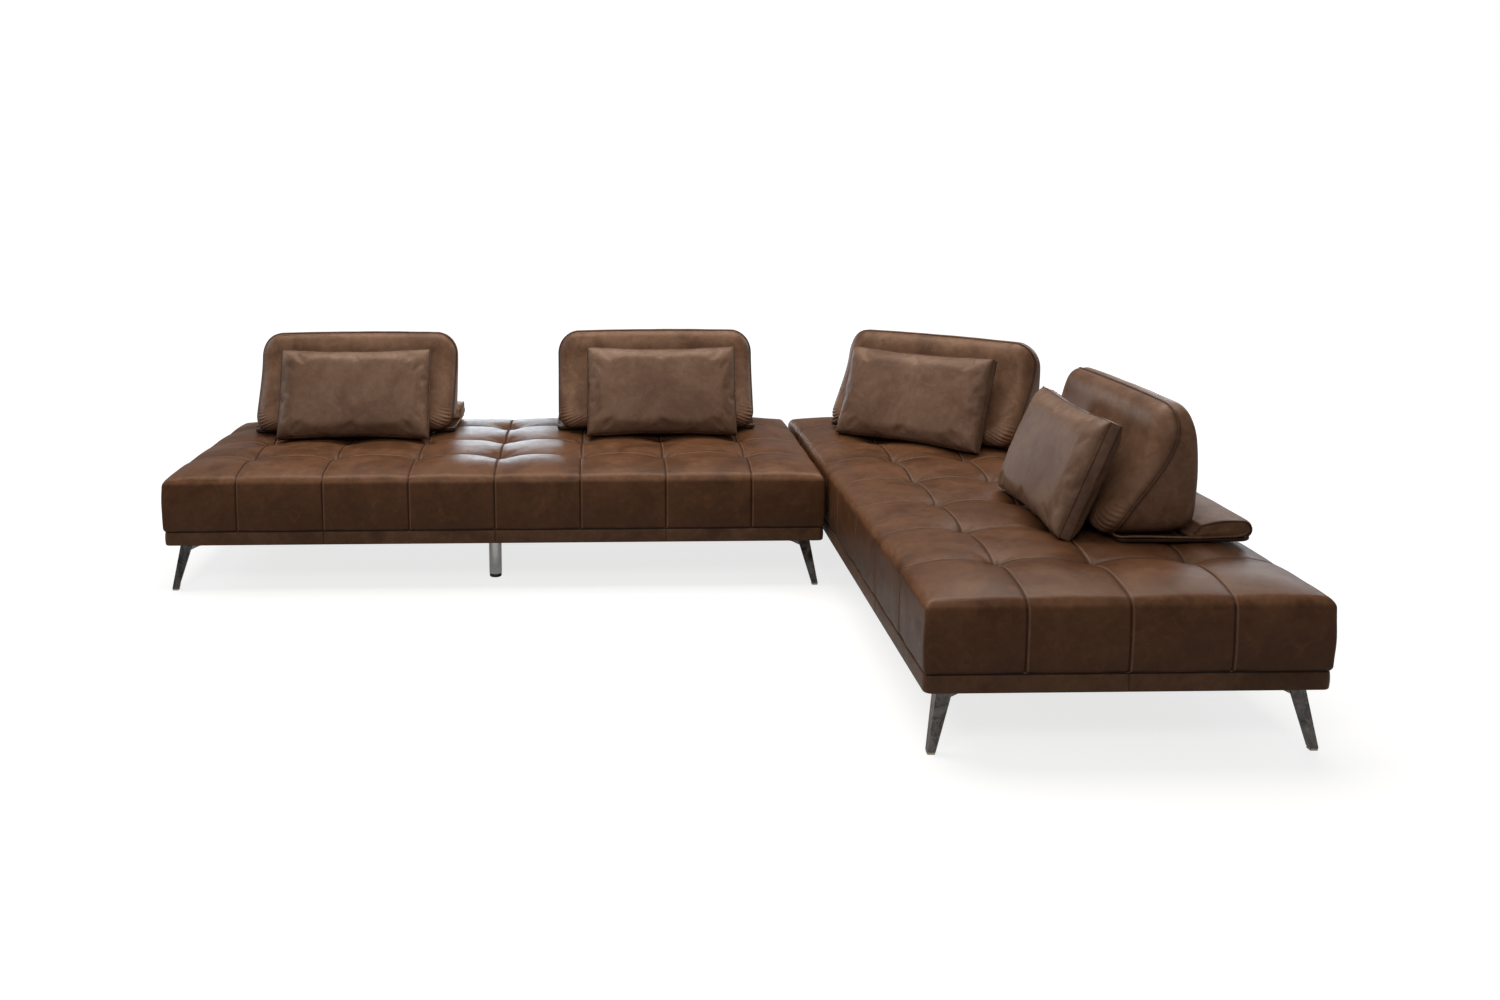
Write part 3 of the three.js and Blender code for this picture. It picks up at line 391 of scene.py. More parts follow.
# %% Timber, webbing, foam, felt, rubber and thread
def plain_stuff(name, dark, pale, roughness, scale, relief, stretch=(1.0, 1.0, 1.0)):
    """A dull material with a cloud of two tones and a fine relief, stretched along an axis."""
    material, tree, shader = new_material(name)
    place = add(tree, "ShaderNodeTexCoord").outputs["Object"]
    turned = add(tree, "ShaderNodeMapping", Vector=place, Scale=stretch).outputs[0]
    cloud = add(tree, "ShaderNodeTexNoise", Vector=turned, Scale=scale, Detail=6.0,
                Roughness=0.6, Distortion=0.4).outputs[0]
    colour = blend_colours(tree, spread(tree, cloud, 0.3, 0.7), (*dark, 1), (*pale, 1))
    bump = add(tree, "ShaderNodeBump", Strength=0.5, Distance=relief, Height=cloud)
    tree.links.new(colour, shader.inputs["Base Color"])
    tree.links.new(bump.outputs["Normal"], shader.inputs["Normal"])
    shader.inputs["Roughness"].default_value = roughness
    return material


along_the_grain = (0.12, 1.0, 1.0)
timber = plain_stuff("frame timber", (0.40, 0.24, 0.12), (0.62, 0.43, 0.25), 0.7, 30.0, 0.0004,
                     along_the_grain)
webbing = plain_stuff("woven webbing", (0.02, 0.018, 0.016), (0.06, 0.05, 0.045),
                      0.9, 500.0, 0.0006)
foam = plain_stuff("seat foam", (0.66, 0.58, 0.36), (0.80, 0.72, 0.50), 0.95, 300.0, 0.0006)
felt = plain_stuff("glide felt", (0.46, 0.38, 0.27), (0.62, 0.54, 0.41), 0.95, 400.0, 0.0004)
rubber = plain_stuff("foot rubber", (0.010, 0.010, 0.010), (0.022, 0.022, 0.022),
                     0.6, 200.0, 0.0002)
gap_shade_cloth = plain_stuff("black gap shade cloth", (0.004, 0.004, 0.004), (0.012, 0.011, 0.010),
                     0.95, 700.0, 0.0003)
thread = plain_stuff("topstitch thread", (0.105, 0.052, 0.027), (0.18, 0.098, 0.054),
                     0.85, 900.0, 0.0001)
print("materials in all:", len(bpy.data.materials))

# %% [markdown]
# ## The tufted seat covers
# Each module's cover is quilted eight panels by four. Its seams run right over the edge and
# down to the rail, and wherever two seams cross the leather is pulled down by a tuft.
# It could be sculpted, or a cloth could be sewn and inflated, but the panels are so regular
# that a formula gives them crisp: take the points of a box, round them towards its core,
# then sink each point by how near it lies to a seam or a tuft.

# %% Sizes of the quilting
panel_pitch = 0.300
depth_pitch = 0.2587
panels_along, panels_deep = 8, 4
edge_radius = 0.028
edge_fall = 0.036
fall_power = 3.0
corner_power = 5.0
seam_drop = 0.0080
seam_curve = 0.62
edge_calm = 0.55
side_seam_drop = 0.0034
side_belly = 0.005
groove_depth = 0.0040
groove_width = 0.0028
groove_power = 1.3
lip_height = 0.0014
lip_width = 0.0019
lip_offset = 0.0048
tuft_depth = 0.0235
tuft_reach = 0.050
tuft_power = 1.3
pinch_depth = 0.009
pinch_reach = 0.015
pinch_power = 1.6
fold_height = 0.0024
fold_reach = 0.050
fold_decay = 2.2
folds_per_tuft = 8
fewer_folds = 4
fewer_folds_share = 0.5
turn_per_tuft = 2.4
unevenness = 0.0012
top_wavelength, side_wavelength = 0.16, 0.11
hem_tuck = 0.005
hem_height = 0.014
cover_wall = 0.030
foam_clearance = 0.0003
cavity_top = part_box("long_foam")[1].z + foam_clearance
print("panels a cover:", panels_along * panels_deep, "cavity up to:", round(cavity_top, 4))


# %% Seams, panels and the fall towards the edges
def inner_seams(length, pitch, panels):
    """Places of the seams between panels, with the two end panels taking what is left."""
    end_panel = (length - (panels - 2) * pitch) / 2
    return end_panel + pitch * np.arange(panels - 1)


def fullness(place, seams, length):
    """0 on a seam and 1 in the middle of a panel, as a power of a sine. The end panels stay
    full from their middle to the seat's edge."""
    edges = np.concatenate([[0.0], seams, [length]])
    panel = np.clip(np.searchsorted(edges, place, side="right") - 1, 0, len(edges) - 2)
    across = (place - edges[panel]) / (edges[panel + 1] - edges[panel])
    across = np.where(panel == 0, np.maximum(across, 0.5), across)
    across = np.where(panel == len(edges) - 2, np.minimum(across, 0.5), across)
    return np.sin(np.pi * np.clip(across, 0, 1)) ** seam_curve


def fall(place, length, panel):
    """How far the top sinks towards an edge: a power of the share of the outer panel."""
    inward = np.clip(np.minimum(place, length - place), 0, None)
    return np.clip(1 - inward / panel, 0, None) ** fall_power


def from_nearest(place, seams):
    """Signed distance to the nearest seam."""
    gaps = place[..., None] - seams
    nearest = np.abs(gaps).argmin(axis=-1)
    return np.take_along_axis(gaps, nearest[..., None], axis=-1)[..., 0]


# %% Grooves and tufts
def groove(distance):
    """How deep the sewn groove is at a distance from the seam, less the lip of the turned
    edge that lies to one side of it."""
    cut = groove_depth * np.exp(-((np.abs(distance) / groove_width) ** groove_power))
    return cut - lip_height * lip(distance)


def lip(distance):
    """1 on the ridge of the turned edge beside a seam, and 0 away from it."""
    return np.exp(-(((distance - lip_offset) / lip_width) ** 2))


def tuft_pull(x, y, seams_x, seams_y):
    """How far the leather is drawn down near the tufts: a wide dimple, a narrow pinch and
    small folds that run out from each tuft like rays."""
    tuft_x, tuft_y = (grid.ravel() for grid in np.meshgrid(seams_x, seams_y))
    away_x = x[..., None] - tuft_x
    away_y = y[..., None] - tuft_y
    nearest = np.hypot(away_x, away_y).argmin(axis=-1)
    pick = nearest[..., None]
    away_x = np.take_along_axis(away_x, pick, axis=-1)[..., 0]
    away_y = np.take_along_axis(away_y, pick, axis=-1)[..., 0]
    radius = np.hypot(away_x, away_y)
    bearing = np.arctan2(away_y, away_x)
    phase = turn_per_tuft * nearest
    rays = np.cos(folds_per_tuft * bearing + phase)
    rays = rays + fewer_folds_share * np.cos(fewer_folds * bearing - phase)
    folds = fold_height * rays * (radius / fold_reach) * np.exp(1 - fold_decay * radius / fold_reach)
    dimple = tuft_depth * np.exp(-((radius / tuft_reach) ** tuft_power))
    pinch = pinch_depth * np.exp(-((radius / pinch_reach) ** pinch_power))
    return dimple + pinch + folds, radius


# %% [markdown]
# A material can only paint shade into a seam if it knows where the seam is. So the surface
# gives three marks with its points: the crown mark lightens stretched panel tops and paints a
# highlight on the rounded edges, the shade mask paints shade into the seams, the tufts and the
# lower part of the upright faces, and the lip mark paints a tan highlight on the ridge of the
# turned edge.

# %% Marks for the leather
seat_shade_reach, seat_shade_power = 0.005, 1.2
tuft_shade = 0.026
hem_shade_level = 0.55
top_crown, edge_sheen_level = 0.45, 0.95
lip_sheen_by_tuft = 0.5
top_lip_sheen, more_upright_lip_sheen = 0.55, 0.2


def seat_marks(z, size, share, full_x, full_y, seam_x, seam_y, radius):
    """Crown with painted edge highlight, painted shade and painted lip highlight. Share holds
    how far a point faces to the end, to the front and up. The upright faces get painted shade
    that deepens towards their hem."""
    bottom, top = size[2:]
    top_or_front = np.maximum(share[..., 2], share[..., 1])
    top_or_end = np.maximum(share[..., 2], share[..., 0])
    # Painted shade along the seams and in the tufts.
    near_x = np.exp(-((np.abs(seam_x) / seat_shade_reach) ** seat_shade_power)) * top_or_front
    near_y = np.exp(-((np.abs(seam_y) / seat_shade_reach) ** seat_shade_power)) * top_or_end
    near_tuft = np.exp(-((radius / tuft_shade) ** 2)) * share[..., 2]
    upright = 1 - share[..., 2]
    # Painted shade on the upright faces, deepening towards the hem.
    hem_shade = hem_shade_level * upright * np.clip(1 - (z - bottom) / (top - bottom), 0, 1)
    crease = np.maximum(np.maximum(near_x, near_y), np.maximum(near_tuft, hem_shade))
    # Painted highlight on the rounded edges between the top and the sides; on the top, the panel crowns
    # lighten where the leather stretches.
    edge_sheen = 4 * share[..., 2] * upright
    crown = top_crown * share[..., 2] * full_x * full_y + edge_sheen_level * edge_sheen
    # Painted tan highlight on the lip ridge beside each seam, weaker in the tufts and stronger on the
    # upright faces.
    wear = np.maximum(lip(seam_x) * top_or_front, lip(seam_y) * top_or_end)
    wear = wear * (1 - lip_sheen_by_tuft * near_tuft) * (top_lip_sheen + more_upright_lip_sheen * upright)
    return [np.clip(mark, 0, 1) for mark in (crown, crease, wear)]


# %% The cover's skin
def away_from_core(place, size):
    """The nearest point of the box's core and the direction out from it. The upright corners
    are tighter than the top edge, because their reach is a power mean."""
    length, depth, bottom, top = size
    low = np.array([edge_radius, edge_radius, bottom])
    high = np.array([length - edge_radius, depth - edge_radius, top - edge_radius])
    core = np.clip(place, low, high)
    out = place - core
    flat_reach = (np.abs(out[..., :2]) ** corner_power).sum(axis=-1) ** (1 / corner_power)
    out /= np.maximum(np.hypot(flat_reach, out[..., 2]), tiny)[..., None]
    return core, out


def seat_surface(x, y, z, size, seams_x, seams_y):
    """The cover's skin over points of its box. A point is moved to the box's core, then out
    again by the edge radius less its drop; the top also falls towards the seat's edges.
    Gives the points and their marks."""
    x, y, z = np.broadcast_arrays(x, y, z)
    length, depth, bottom, top = size
    core, out = away_from_core(np.stack([x, y, z], axis=-1), size)
    full_x = fullness(x, seams_x, length)
    full_y = fullness(y, seams_y, depth)
    seam_x = from_nearest(x, seams_x)
    seam_y = from_nearest(y, seams_y)
    pull, radius = tuft_pull(x, y, seams_x, seams_y)
    groove_x, groove_y = groove(seam_x), groove(seam_y)
    calm = 1 - edge_calm * np.maximum(fall(x, length, seams_x[0]), fall(y, depth, seams_y[0]))
    top_drop = calm * seam_drop * (1 - full_x * full_y) + pull + np.maximum(groove_x, groove_y)
    top_drop = top_drop + unevenness * ripple(x, y, top_wavelength, 3)
    middle = (bottom + top - edge_radius) / 2
    belly = side_belly * np.minimum(((z - middle) / (top - middle)) ** 2, 1)
    tuck = hem_tuck * np.clip(1 - (z - bottom) / hem_height, 0, 1) ** 2
    front_drop = side_seam_drop * (1 - full_x) + belly + tuck + groove_x
    front_drop = front_drop + unevenness * ripple(x, z, side_wavelength, 5)
    end_drop = side_seam_drop * (1 - full_y) + belly + tuck + groove_y
    end_drop = end_drop + unevenness * ripple(y, z, side_wavelength, 8)
    share = out**2 / np.maximum((out**2).sum(axis=-1, keepdims=True), tiny)
    drop = share[..., 2] * top_drop + share[..., 1] * front_drop + share[..., 0] * end_drop
    points = core + out * (edge_radius - drop)[..., None]
    end_fall = fall(points[..., 0], length, seams_x[0])
    front_fall = fall(points[..., 1], depth, seams_y[0])
    rise = np.clip(points[..., 2] - bottom, 0, None) / (top - bottom)
    points[..., 2] -= edge_fall * (end_fall + front_fall - end_fall * front_fall) * rise
    return points, *seat_marks(z, size, share, full_x, full_y, seam_x, seam_y, radius)


# %% [markdown]
# The mesh lines lie close together beside each seam and round each edge, and wide apart in
# the open leather, so that a groove of four millimetres stays crisp on a seat of more than
# two metres without millions of faces.

# %% Lines of the seat's mesh
near_seam = np.array([0.0, 0.0011, 0.0022, 0.0035, 0.0048, 0.0062, 0.0080, 0.011, 0.017, 0.026])
edge_shares = np.array([0, 0.08, 0.18, 0.3, 0.42, 0.55, 0.68, 0.8, 0.9, 1])
hem_shares = np.array([0, 0.15, 0.35, 0.65, 1])
open_step = 0.012
upright_rows = 14
line_digits = 5


def mesh_lines(length, seams):
    """Sorted places of the mesh lines along one side of a seat."""
    beside = np.concatenate([-near_seam[:0:-1], near_seam])
    edge = edge_radius * edge_shares
    lines = [edge, length - edge, (seams[:, None] + beside).ravel()]
    beyond = near_seam[-1]
    stops = np.concatenate([[edge_radius - beyond], seams, [length - edge_radius + beyond]])
    for start, stop in zip(stops[:-1] + beyond, stops[1:] - beyond):
        count = int(np.ceil((stop - start) / open_step)) + 1
        lines.append(np.linspace(start, stop, count))
    return np.unique(np.round(np.concatenate(lines), line_digits))


def height_lines(bottom, top):
    """Sorted heights of the mesh lines on the sides of a seat."""
    hem = bottom + hem_height * hem_shares
    side = np.linspace(bottom + hem_height, top - edge_radius, upright_rows)
    edge = top - edge_radius * edge_shares
    return np.unique(np.round(np.concatenate([hem, side, edge]), line_digits))


# %% The patches of a cover
flat_lines = 2
wall_lines = 3


def from_ends(lines):
    """How many lines lie between each line and the nearer end."""
    count = np.arange(len(lines))
    return np.minimum(count, count[::-1])


def seat_patches(size, seams_x, seams_y):
    """The top, four sides and hollow underside of a cover, with their marks. Underneath, the
    outer lines of the grid form the hem and the wall, and the rest the roof of the cavity."""
    length, depth, bottom, top = size
    lines_x, lines_y = mesh_lines(length, seams_x), mesh_lines(depth, seams_y)
    lines_z = height_lines(bottom, top)
    x, y = np.meshgrid(lines_x, lines_y)
    wide_x, wide_z = np.meshgrid(lines_x, lines_z)
    deep_y, deep_z = np.meshgrid(lines_y, lines_z)
    spots = [(x, y, top), (wide_x, 0.0, wide_z), (wide_x, depth, wide_z),
             (0.0, deep_y, deep_z), (length, deep_y, deep_z), (x, y, bottom)]
    patches = [seat_surface(*spot, size, seams_x, seams_y) for spot in spots]
    rim = patches[-1][0]
    step_x, step_y = from_ends(lines_x)[None, :], from_ends(lines_y)[:, None]
    level = np.minimum(step_x, step_y)
    hollow_x = np.where(step_x < wall_lines, np.where(x < length / 2, 0, length), x)
    hollow_y = np.where(step_y < wall_lines, np.where(y < depth / 2, 0, depth), y)
    hollow = np.stack([
        np.clip(hollow_x, cover_wall, length - cover_wall),
        np.clip(hollow_y, cover_wall, depth - cover_wall),
        np.where(level < flat_lines, bottom, cavity_top),
    ], axis=-1)
    rim[level > 0] = hollow[level > 0]
    patches[-1] = (rim, *(0 * mark for mark in patches[-1][1:]))
    return patches


# %% [markdown]
# A module's shape is worked out along its own length and depth. Two corners of the packed
# cover say where it stands, and the side module is turned so that its length runs forward.

# %% Place the two covers
class Seat:
    """Where a module stands, from the box of its packed cover."""

    def __init__(self, name, turned):
        self.name = name
        low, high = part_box(f"{name}_seat_cover")
        self.corner = np.array([low.x, high.y if turned else low.y, 0.0])
        self.along = np.array([0.0, -1.0, 0.0] if turned else [1.0, 0.0, 0.0])
        self.across = np.array([1.0, 0.0, 0.0] if turned else [0.0, 1.0, 0.0])
        spans = (high.y - low.y, high.x - low.x) if turned else (high.x - low.x, high.y - low.y)
        self.size = (*spans, low.z, high.z)
        self.seams_x = inner_seams(spans[0], panel_pitch, panels_along)
        self.seams_y = inner_seams(spans[1], depth_pitch, panels_deep)

    def placed(self, points):
        """Points of the module's own axes in the shared frame."""
        up = np.array([0.0, 0.0, 1.0])
        return self.corner + points @ np.stack([self.along, self.across, up])


seats = [Seat("long", turned=False), Seat("side", turned=True)]
for seat in seats:
    patches = seat_patches(seat.size, seat.seams_x, seat.seams_y)
    shapes = [seat.placed(patch[0]) for patch in patches]
    marks = {
        mark: np.concatenate([patch[place].ravel() for patch in patches])
        for place, mark in enumerate(("crown", "crease", "wear"), start=1)
    }
    cover = patches_piece(f"{seat.name}_cover", shapes, marks)
    settle(cover, "sofa", "seat_leather", seat_leather, f"{seat.name}_seat_cover")
    print(cover.name, "faces:", len(cover.data.polygons))

# %% [markdown]
# ## Topstitching
# A row of thread runs beside every seam, a few millimetres to the side on which the turned
# edge lies. Each stitch is a tiny block with pointed ends, drawn once and then copied along
# the seam by broadcasting: the place, direction and lean of every stitch are arrays.

# %% One stitch
stitch_length = 0.0052
stitch_pitch = 0.0078
stitch_width = 0.0011
stitch_height = 0.0009
stitch_offset = 0.0050
stitch_block = np.array([
    [-0.5, 0, -0.4], [-0.3, -0.5, -0.4], [0.3, -0.5, -0.4], [0.5, 0, -0.4], [0.3, 0.5, -0.4],
    [-0.3, 0.5, -0.4], [-0.32, -0.2, 0.6], [0.32, -0.2, 0.6], [0.32, 0.2, 0.6], [-0.32, 0.2, 0.6],
])
stitch_faces = np.array([[6, 7, 8, 9], [1, 2, 7, 6], [4, 5, 9, 8]])
stitch_sides = np.array([[0, 1, 6], [0, 6, 9], [0, 9, 5], [3, 7, 2], [3, 8, 7], [3, 4, 8],
                         [0, 5, 1], [3, 2, 4], [1, 5, 4], [1, 4, 2]])
print("points a stitch:", len(stitch_block))


# %% Stitches along a path
def even_steps(path, side, pitch):
    """Points at even distances along a path, and their directions along and to the side."""
    steps = np.linalg.norm(np.diff(path, axis=0), axis=1)
    travelled = np.concatenate([[0], np.cumsum(steps)])
    stops = np.arange(pitch / 2, travelled[-1], pitch)
    between = np.stack([np.interp(stops, travelled, path[:, axis]) for axis in range(3)], axis=-1)
    aside = np.stack([np.interp(stops, travelled, side[:, axis]) for axis in range(3)], axis=-1)
    ahead = np.gradient(between, axis=0)
    return between, ahead / np.linalg.norm(ahead, axis=1, keepdims=True), aside


def stitches(path, side):
    """Points and faces of a row of stitches beside a path. Side holds the vectors across
    the seam, and each stitch stands up along the cross product of the two directions."""
    middle, ahead, aside = even_steps(path, side, stitch_pitch)
    aside = aside - (aside * ahead).sum(axis=1, keepdims=True) * ahead
    aside /= np.linalg.norm(aside, axis=1, keepdims=True)
    upward = np.cross(ahead, aside)
    size = np.array([stitch_length, stitch_width, stitch_height])
    block = stitch_block * size
    axes = np.stack([ahead, aside, upward], axis=1)
    points = middle[:, None] + np.einsum("pa,nax->npx", block, axes)
    start = len(stitch_block) * np.arange(len(middle))[:, None, None]
    return points.reshape(-1, 3), [(start + faces).reshape(-1, faces.shape[1])
                                   for faces in (stitch_faces, stitch_sides)]


def many_stitches(name, rows):
    """One piece that holds several rows of stitches."""
    points, quads, sides, start = [], [], [], 0
    for path, side in rows:
        row_points, (row_quads, row_sides) = stitches(path, side)
        points.append(row_points)
        quads.append(row_quads + start)
        sides.append(row_sides + start)
        start += len(row_points)
    return new_piece(name, np.concatenate(points), [np.concatenate(quads), np.concatenate(sides)])


# %% Stitch the seats' seams
path_step = 0.006
stitch_margin = 0.012
side_step = 0.0008


def box_path(length, bottom, top, margin):
    """A path up one side of a box, over its top and down the other, as place and height."""
    up = np.arange(bottom + margin, top, path_step)
    over = np.arange(0, length, path_step)
    place = np.concatenate([0 * up, over, np.full(len(up), length)])
    height = np.concatenate([up, np.full(len(over), top), up[::-1]])
    return place, height


for seat in seats:
    length, depth, bottom, top = seat.size
    rows = []
    place, height = box_path(depth, bottom, top, stitch_margin)
    for seam in seat.seams_x:
        near, far = (
            seat.placed(seat_surface(seam + stitch_offset + shift, place, height, seat.size,
                                     seat.seams_x, seat.seams_y)[0])
            for shift in (0.0, side_step)
        )
        rows.append((near, near - far))
    place, height = box_path(length, bottom, top, stitch_margin)
    for seam in seat.seams_y:
        near, far = (
            seat.placed(seat_surface(place, seam + stitch_offset + shift, height, seat.size,
                                     seat.seams_x, seat.seams_y)[0])
            for shift in (0.0, side_step)
        )
        rows.append((near, far - near))
    sewing = many_stitches(f"{seat.name}_topstitch", rows)
    settle(sewing, "sofa", "seat_leather", thread)
    print(sewing.name, "faces:", len(sewing.data.polygons))

# %% [markdown]
# ## The wrapped rails
# Under each cover runs a rail wrapped in leather over a thin pad, so its edges are round
# and its face swells a little. A profile carried round the module makes it. The wrap is
# sewn together at every second panel seam, where it has a small vertical groove.

# %% Sizes of the rails
rail_inset = 0.005
rail_thickness = 0.006
rail_round = 0.0045
rail_belly = 0.0012
rail_lip = 0.0024
rail_reach = 0.020
lip_edge, lip_chamfer = 0.0006, 0.001
lip_rise, lip_run = 0.004, 0.002
rail_top_edge = 0.0005
rail_step = 0.03
corner_steps = 9
corner_radius = 0.026
inner_radius = 0.004
join_depth = 0.0016
join_width = 0.0022
beside_join = np.array([0.0012, 0.0025, 0.004, 0.006, 0.009])
near_join = np.concatenate([-beside_join[::-1], [0], beside_join])


# %% The section of the wrap
def rail_profile(bottom, top):
    """The wrap's section as inset and height, from inside its lip round to its inner top."""
    outer, inner = rail_inset, rail_inset + rail_thickness
    turn = np.linspace(0, np.pi / 2, 6)
    sine, cosine = np.sin(turn), np.cos(turn)
    low_round = np.stack([
        outer + rail_round * (1 - sine), bottom + rail_round * (1 - cosine),
    ], axis=1)
    high_round = np.stack([
        outer + rail_round * (1 - cosine), top - rail_round * (1 - sine),
    ], axis=1)
    face_share = np.linspace(0, 1, 9)[1:-1]
    face = np.stack([
        outer - rail_belly * np.sin(np.pi * face_share),
        bottom + rail_round + face_share * (top - bottom - 2 * rail_round),
    ], axis=1)
    lip_end = inner + rail_reach
    lip_top = bottom + rail_lip
    return np.concatenate([
        [[lip_end, lip_top], [lip_end, bottom + lip_edge], [lip_end - lip_chamfer, bottom]],
        low_round, face, high_round,
        [[inner, top - rail_top_edge], [inner, lip_top + lip_rise], [inner + lip_run, lip_top]],
    ])


# %% Stops round a module
def rail_stations(length, depth, joins_x, joins_y):
    """Stops round the module: for each its rectangle corner or side point, its outward
    direction, how much of a corner it is and its distance from the nearest join."""
    start = corner_radius + inner_radius + rail_inset + rail_thickness + rail_reach
    corners = [(0, 0, 180), (length, 0, 270), (length, depth, 0), (0, depth, 90)]
    stations = []
    for number, (x, y, angle) in enumerate(corners):
        turn = np.radians(angle + np.linspace(0, 90, corner_steps))
        inward = np.array([-1 if x else 1, -1 if y else 1])
        place, pointing = (np.tile(pair, (corner_steps, 1)) for pair in ([x, y], inward))
        stations.append(np.column_stack([
            place, np.cos(turn), np.sin(turn), pointing, np.ones(corner_steps),
        ]))
        next_x, next_y, _ = corners[(number + 1) % 4]
        side = length if number % 2 == 0 else depth
        joins = joins_x if number % 2 == 0 else joins_y
        joins = joins if number in (0, 1) else side - joins
        stops = np.concatenate([np.linspace(start, side - start, int(side / rail_step)),
                                (joins[:, None] + near_join).ravel()])
        stops = np.unique(np.round(stops, line_digits))
        gap = np.abs(stops[:, None] - joins).min(axis=1)
        normal = np.radians(angle + 90)
        direction = np.array([next_x - x, next_y - y]) / side
        places = np.array([x, y]) + stops[:, None] * direction
        stations.append(np.column_stack([
            places, np.full(len(stops), np.cos(normal)), np.full(len(stops), np.sin(normal)),
            np.zeros((len(stops), 2)), gap,
        ]))
    return np.concatenate(stations)


# %% Carry the section round
def swept_rail(length, depth, bottom, top, joins_x, joins_y):
    """The profile at every station. At a corner the section turns about a point that lies
    inward by its inset and its radius, and the radius never falls below a small one."""
    stations = rail_stations(length, depth, joins_x, joins_y)
    inset, height = rail_profile(bottom, top).T
    groove_share = np.exp(-((stations[:, 6:7] / join_width) ** 2))
    on_face = np.clip((rail_inset + rail_thickness - inset) / rail_thickness, 0, 1)
    inset = inset + join_depth * groove_share * on_face
    radius = np.maximum(corner_radius - inset, inner_radius)
    is_corner = (np.abs(stations[:, 4:6]).sum(axis=1) > 0)[:, None]
    outward = np.where(is_corner, radius, -inset)
    inward = np.where(is_corner, inset + radius, 0.0)
    flat = stations[:, None, 0:2] + outward[..., None] * stations[:, None, 2:4]
    flat = flat + inward[..., None] * stations[:, None, 4:6]
    points = np.concatenate([flat, np.broadcast_to(height[:, None], inset.shape + (1,))], axis=-1)
    # Painted shade in the groove at each join of the wrap.
    crease = np.broadcast_to(groove_share, inset.shape)
    return points, crease


# %% [markdown]
# Between rail and cover a narrow gap stays open. A black band of painted shade is set inside
# it, so that the lit timber never shows through. A flat band with round corners is enough for it.

# %% The band of painted shade in the gap
shade_band_inset, shade_band_thickness = 0.0091, 0.0020
shade_band_seat = 0.0001


def shade_band_profile(bottom, top):
    """The section of the black band of painted shade in the gap between rail and cover."""
    near, far = shade_band_inset, shade_band_inset + shade_band_thickness
    low, high = bottom + shade_band_seat, top - shade_band_seat
    return np.array([[far, low], [near, low], [near, high], [far, high]])


def swept_band(length, depth, profile):
    """A small section of inset and height carried round a module with tight corners."""
    quarter = np.linspace(0, 90, corner_steps)
    turn = np.radians(np.concatenate([start + quarter for start in (180, 270, 0, 90)]))
    corner = np.repeat([[0, 0], [length, 0], [length, depth], [0, depth]], corner_steps, axis=0)
    inward = np.where(corner > 0, -1, 1)
    inset, height = profile.T
    radius = corner_radius - inset
    outward = np.stack([np.cos(turn), np.sin(turn)], axis=1)
    flat = (corner[:, None] + corner_radius * inward[:, None]
            + radius[None, :, None] * outward[:, None])
    return np.concatenate([flat, np.broadcast_to(height[:, None], flat.shape[:2] + (1,))], axis=-1)


# %% Make the rails and their bands of painted shade
rail_crown = 0.5
for seat in seats:
    low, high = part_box(f"{seat.name}_rail_wrap")
    length, depth = seat.size[:2]
    points, crease = swept_rail(length, depth, low.z, high.z, seat.seams_x[1::2], seat.seams_y[1::2])
    across = np.linspace(-1, 1, points.shape[1])[None, :]
    crown = np.clip(1 - np.abs(across) ** 4 + 0 * crease, 0, 1)
    rows, columns = points.shape[:2]
    faces = [grid_quads(rows, columns, close_rows=True, close_columns=True)]
    rail = new_piece(f"{seat.name}_rail", seat.placed(points).reshape(-1, 3), faces,
                     {"crown": rail_crown * crown, "crease": crease})
    settle(rail, "sofa", "rail_leather", rail_leather, f"{seat.name}_rail_wrap")
    shade_band_rings = swept_band(length, depth, shade_band_profile(high.z, seat.size[2]))
    shade_band = new_piece(f"{seat.name}_gap_lining", seat.placed(shade_band_rings).reshape(-1, 3),
                      [grid_quads(*shade_band_rings.shape[:2], close_rows=True, close_columns=True)])
    settle(shade_band, "sofa", "webbing_fabric", gap_shade_cloth)
    print(rail.name, "faces:", len(rail.data.polygons))

# %% [markdown]
# ## Legs, posts and glides
# The cast legs are right as packed: flat facets that meet in crisp ridges. A real casting
# has no knife edges, so each gets a Weld and then a small Bevel, and its mesh stays as it
# is. The chromed posts are turned again with more steps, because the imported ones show
# their facets in a mirror finish.

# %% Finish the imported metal
leg_bevel = 0.0011
glide_bevel = 0.0012
timber_bevel = 0.002
foam_bevel = 0.006
link_bevel = 0.0004
merge_reach = 1e-5
sharp_angle = 25


def soften(name, width, material):
    """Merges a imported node's loose triangles and rounds its edges, by modifiers only."""
    node = nodes[name]
    weld = node.modifiers.new("merge", "WELD")
    weld.merge_threshold = merge_reach
    bevel = node.modifiers.new("round edges", "BEVEL")
    bevel.width = width
    bevel.segments = 2
    bevel.limit_method = "ANGLE"
    bevel.angle_limit = math.radians(sharp_angle)
    bevel.use_clamp_overlap = True
    node.data.materials.clear()
    node.data.materials.append(material)


places = ["front_left", "front_right", "rear_right", "rear_left"]
for seat in seats:
    for place in places:
        soften(f"{seat.name}_leg_{place}", leg_bevel, cast_metal)
        soften(f"{seat.name}_glide_{place}", glide_bevel, felt)
    soften(f"{seat.name}_frame", timber_bevel, timber)
    soften(f"{seat.name}_foam", foam_bevel, foam)
    nodes[f"{seat.name}_webbing"].data.materials.clear()
    nodes[f"{seat.name}_webbing"].data.materials.append(webbing)
soften("link_tongue", link_bevel, steel)
soften("link_catch", link_bevel, steel)
print("packed nodes with a bevel:", sum("round edges" in node.modifiers for node in nodes.values()))

# %% A profile turned about an upright line
turned_steps = 64


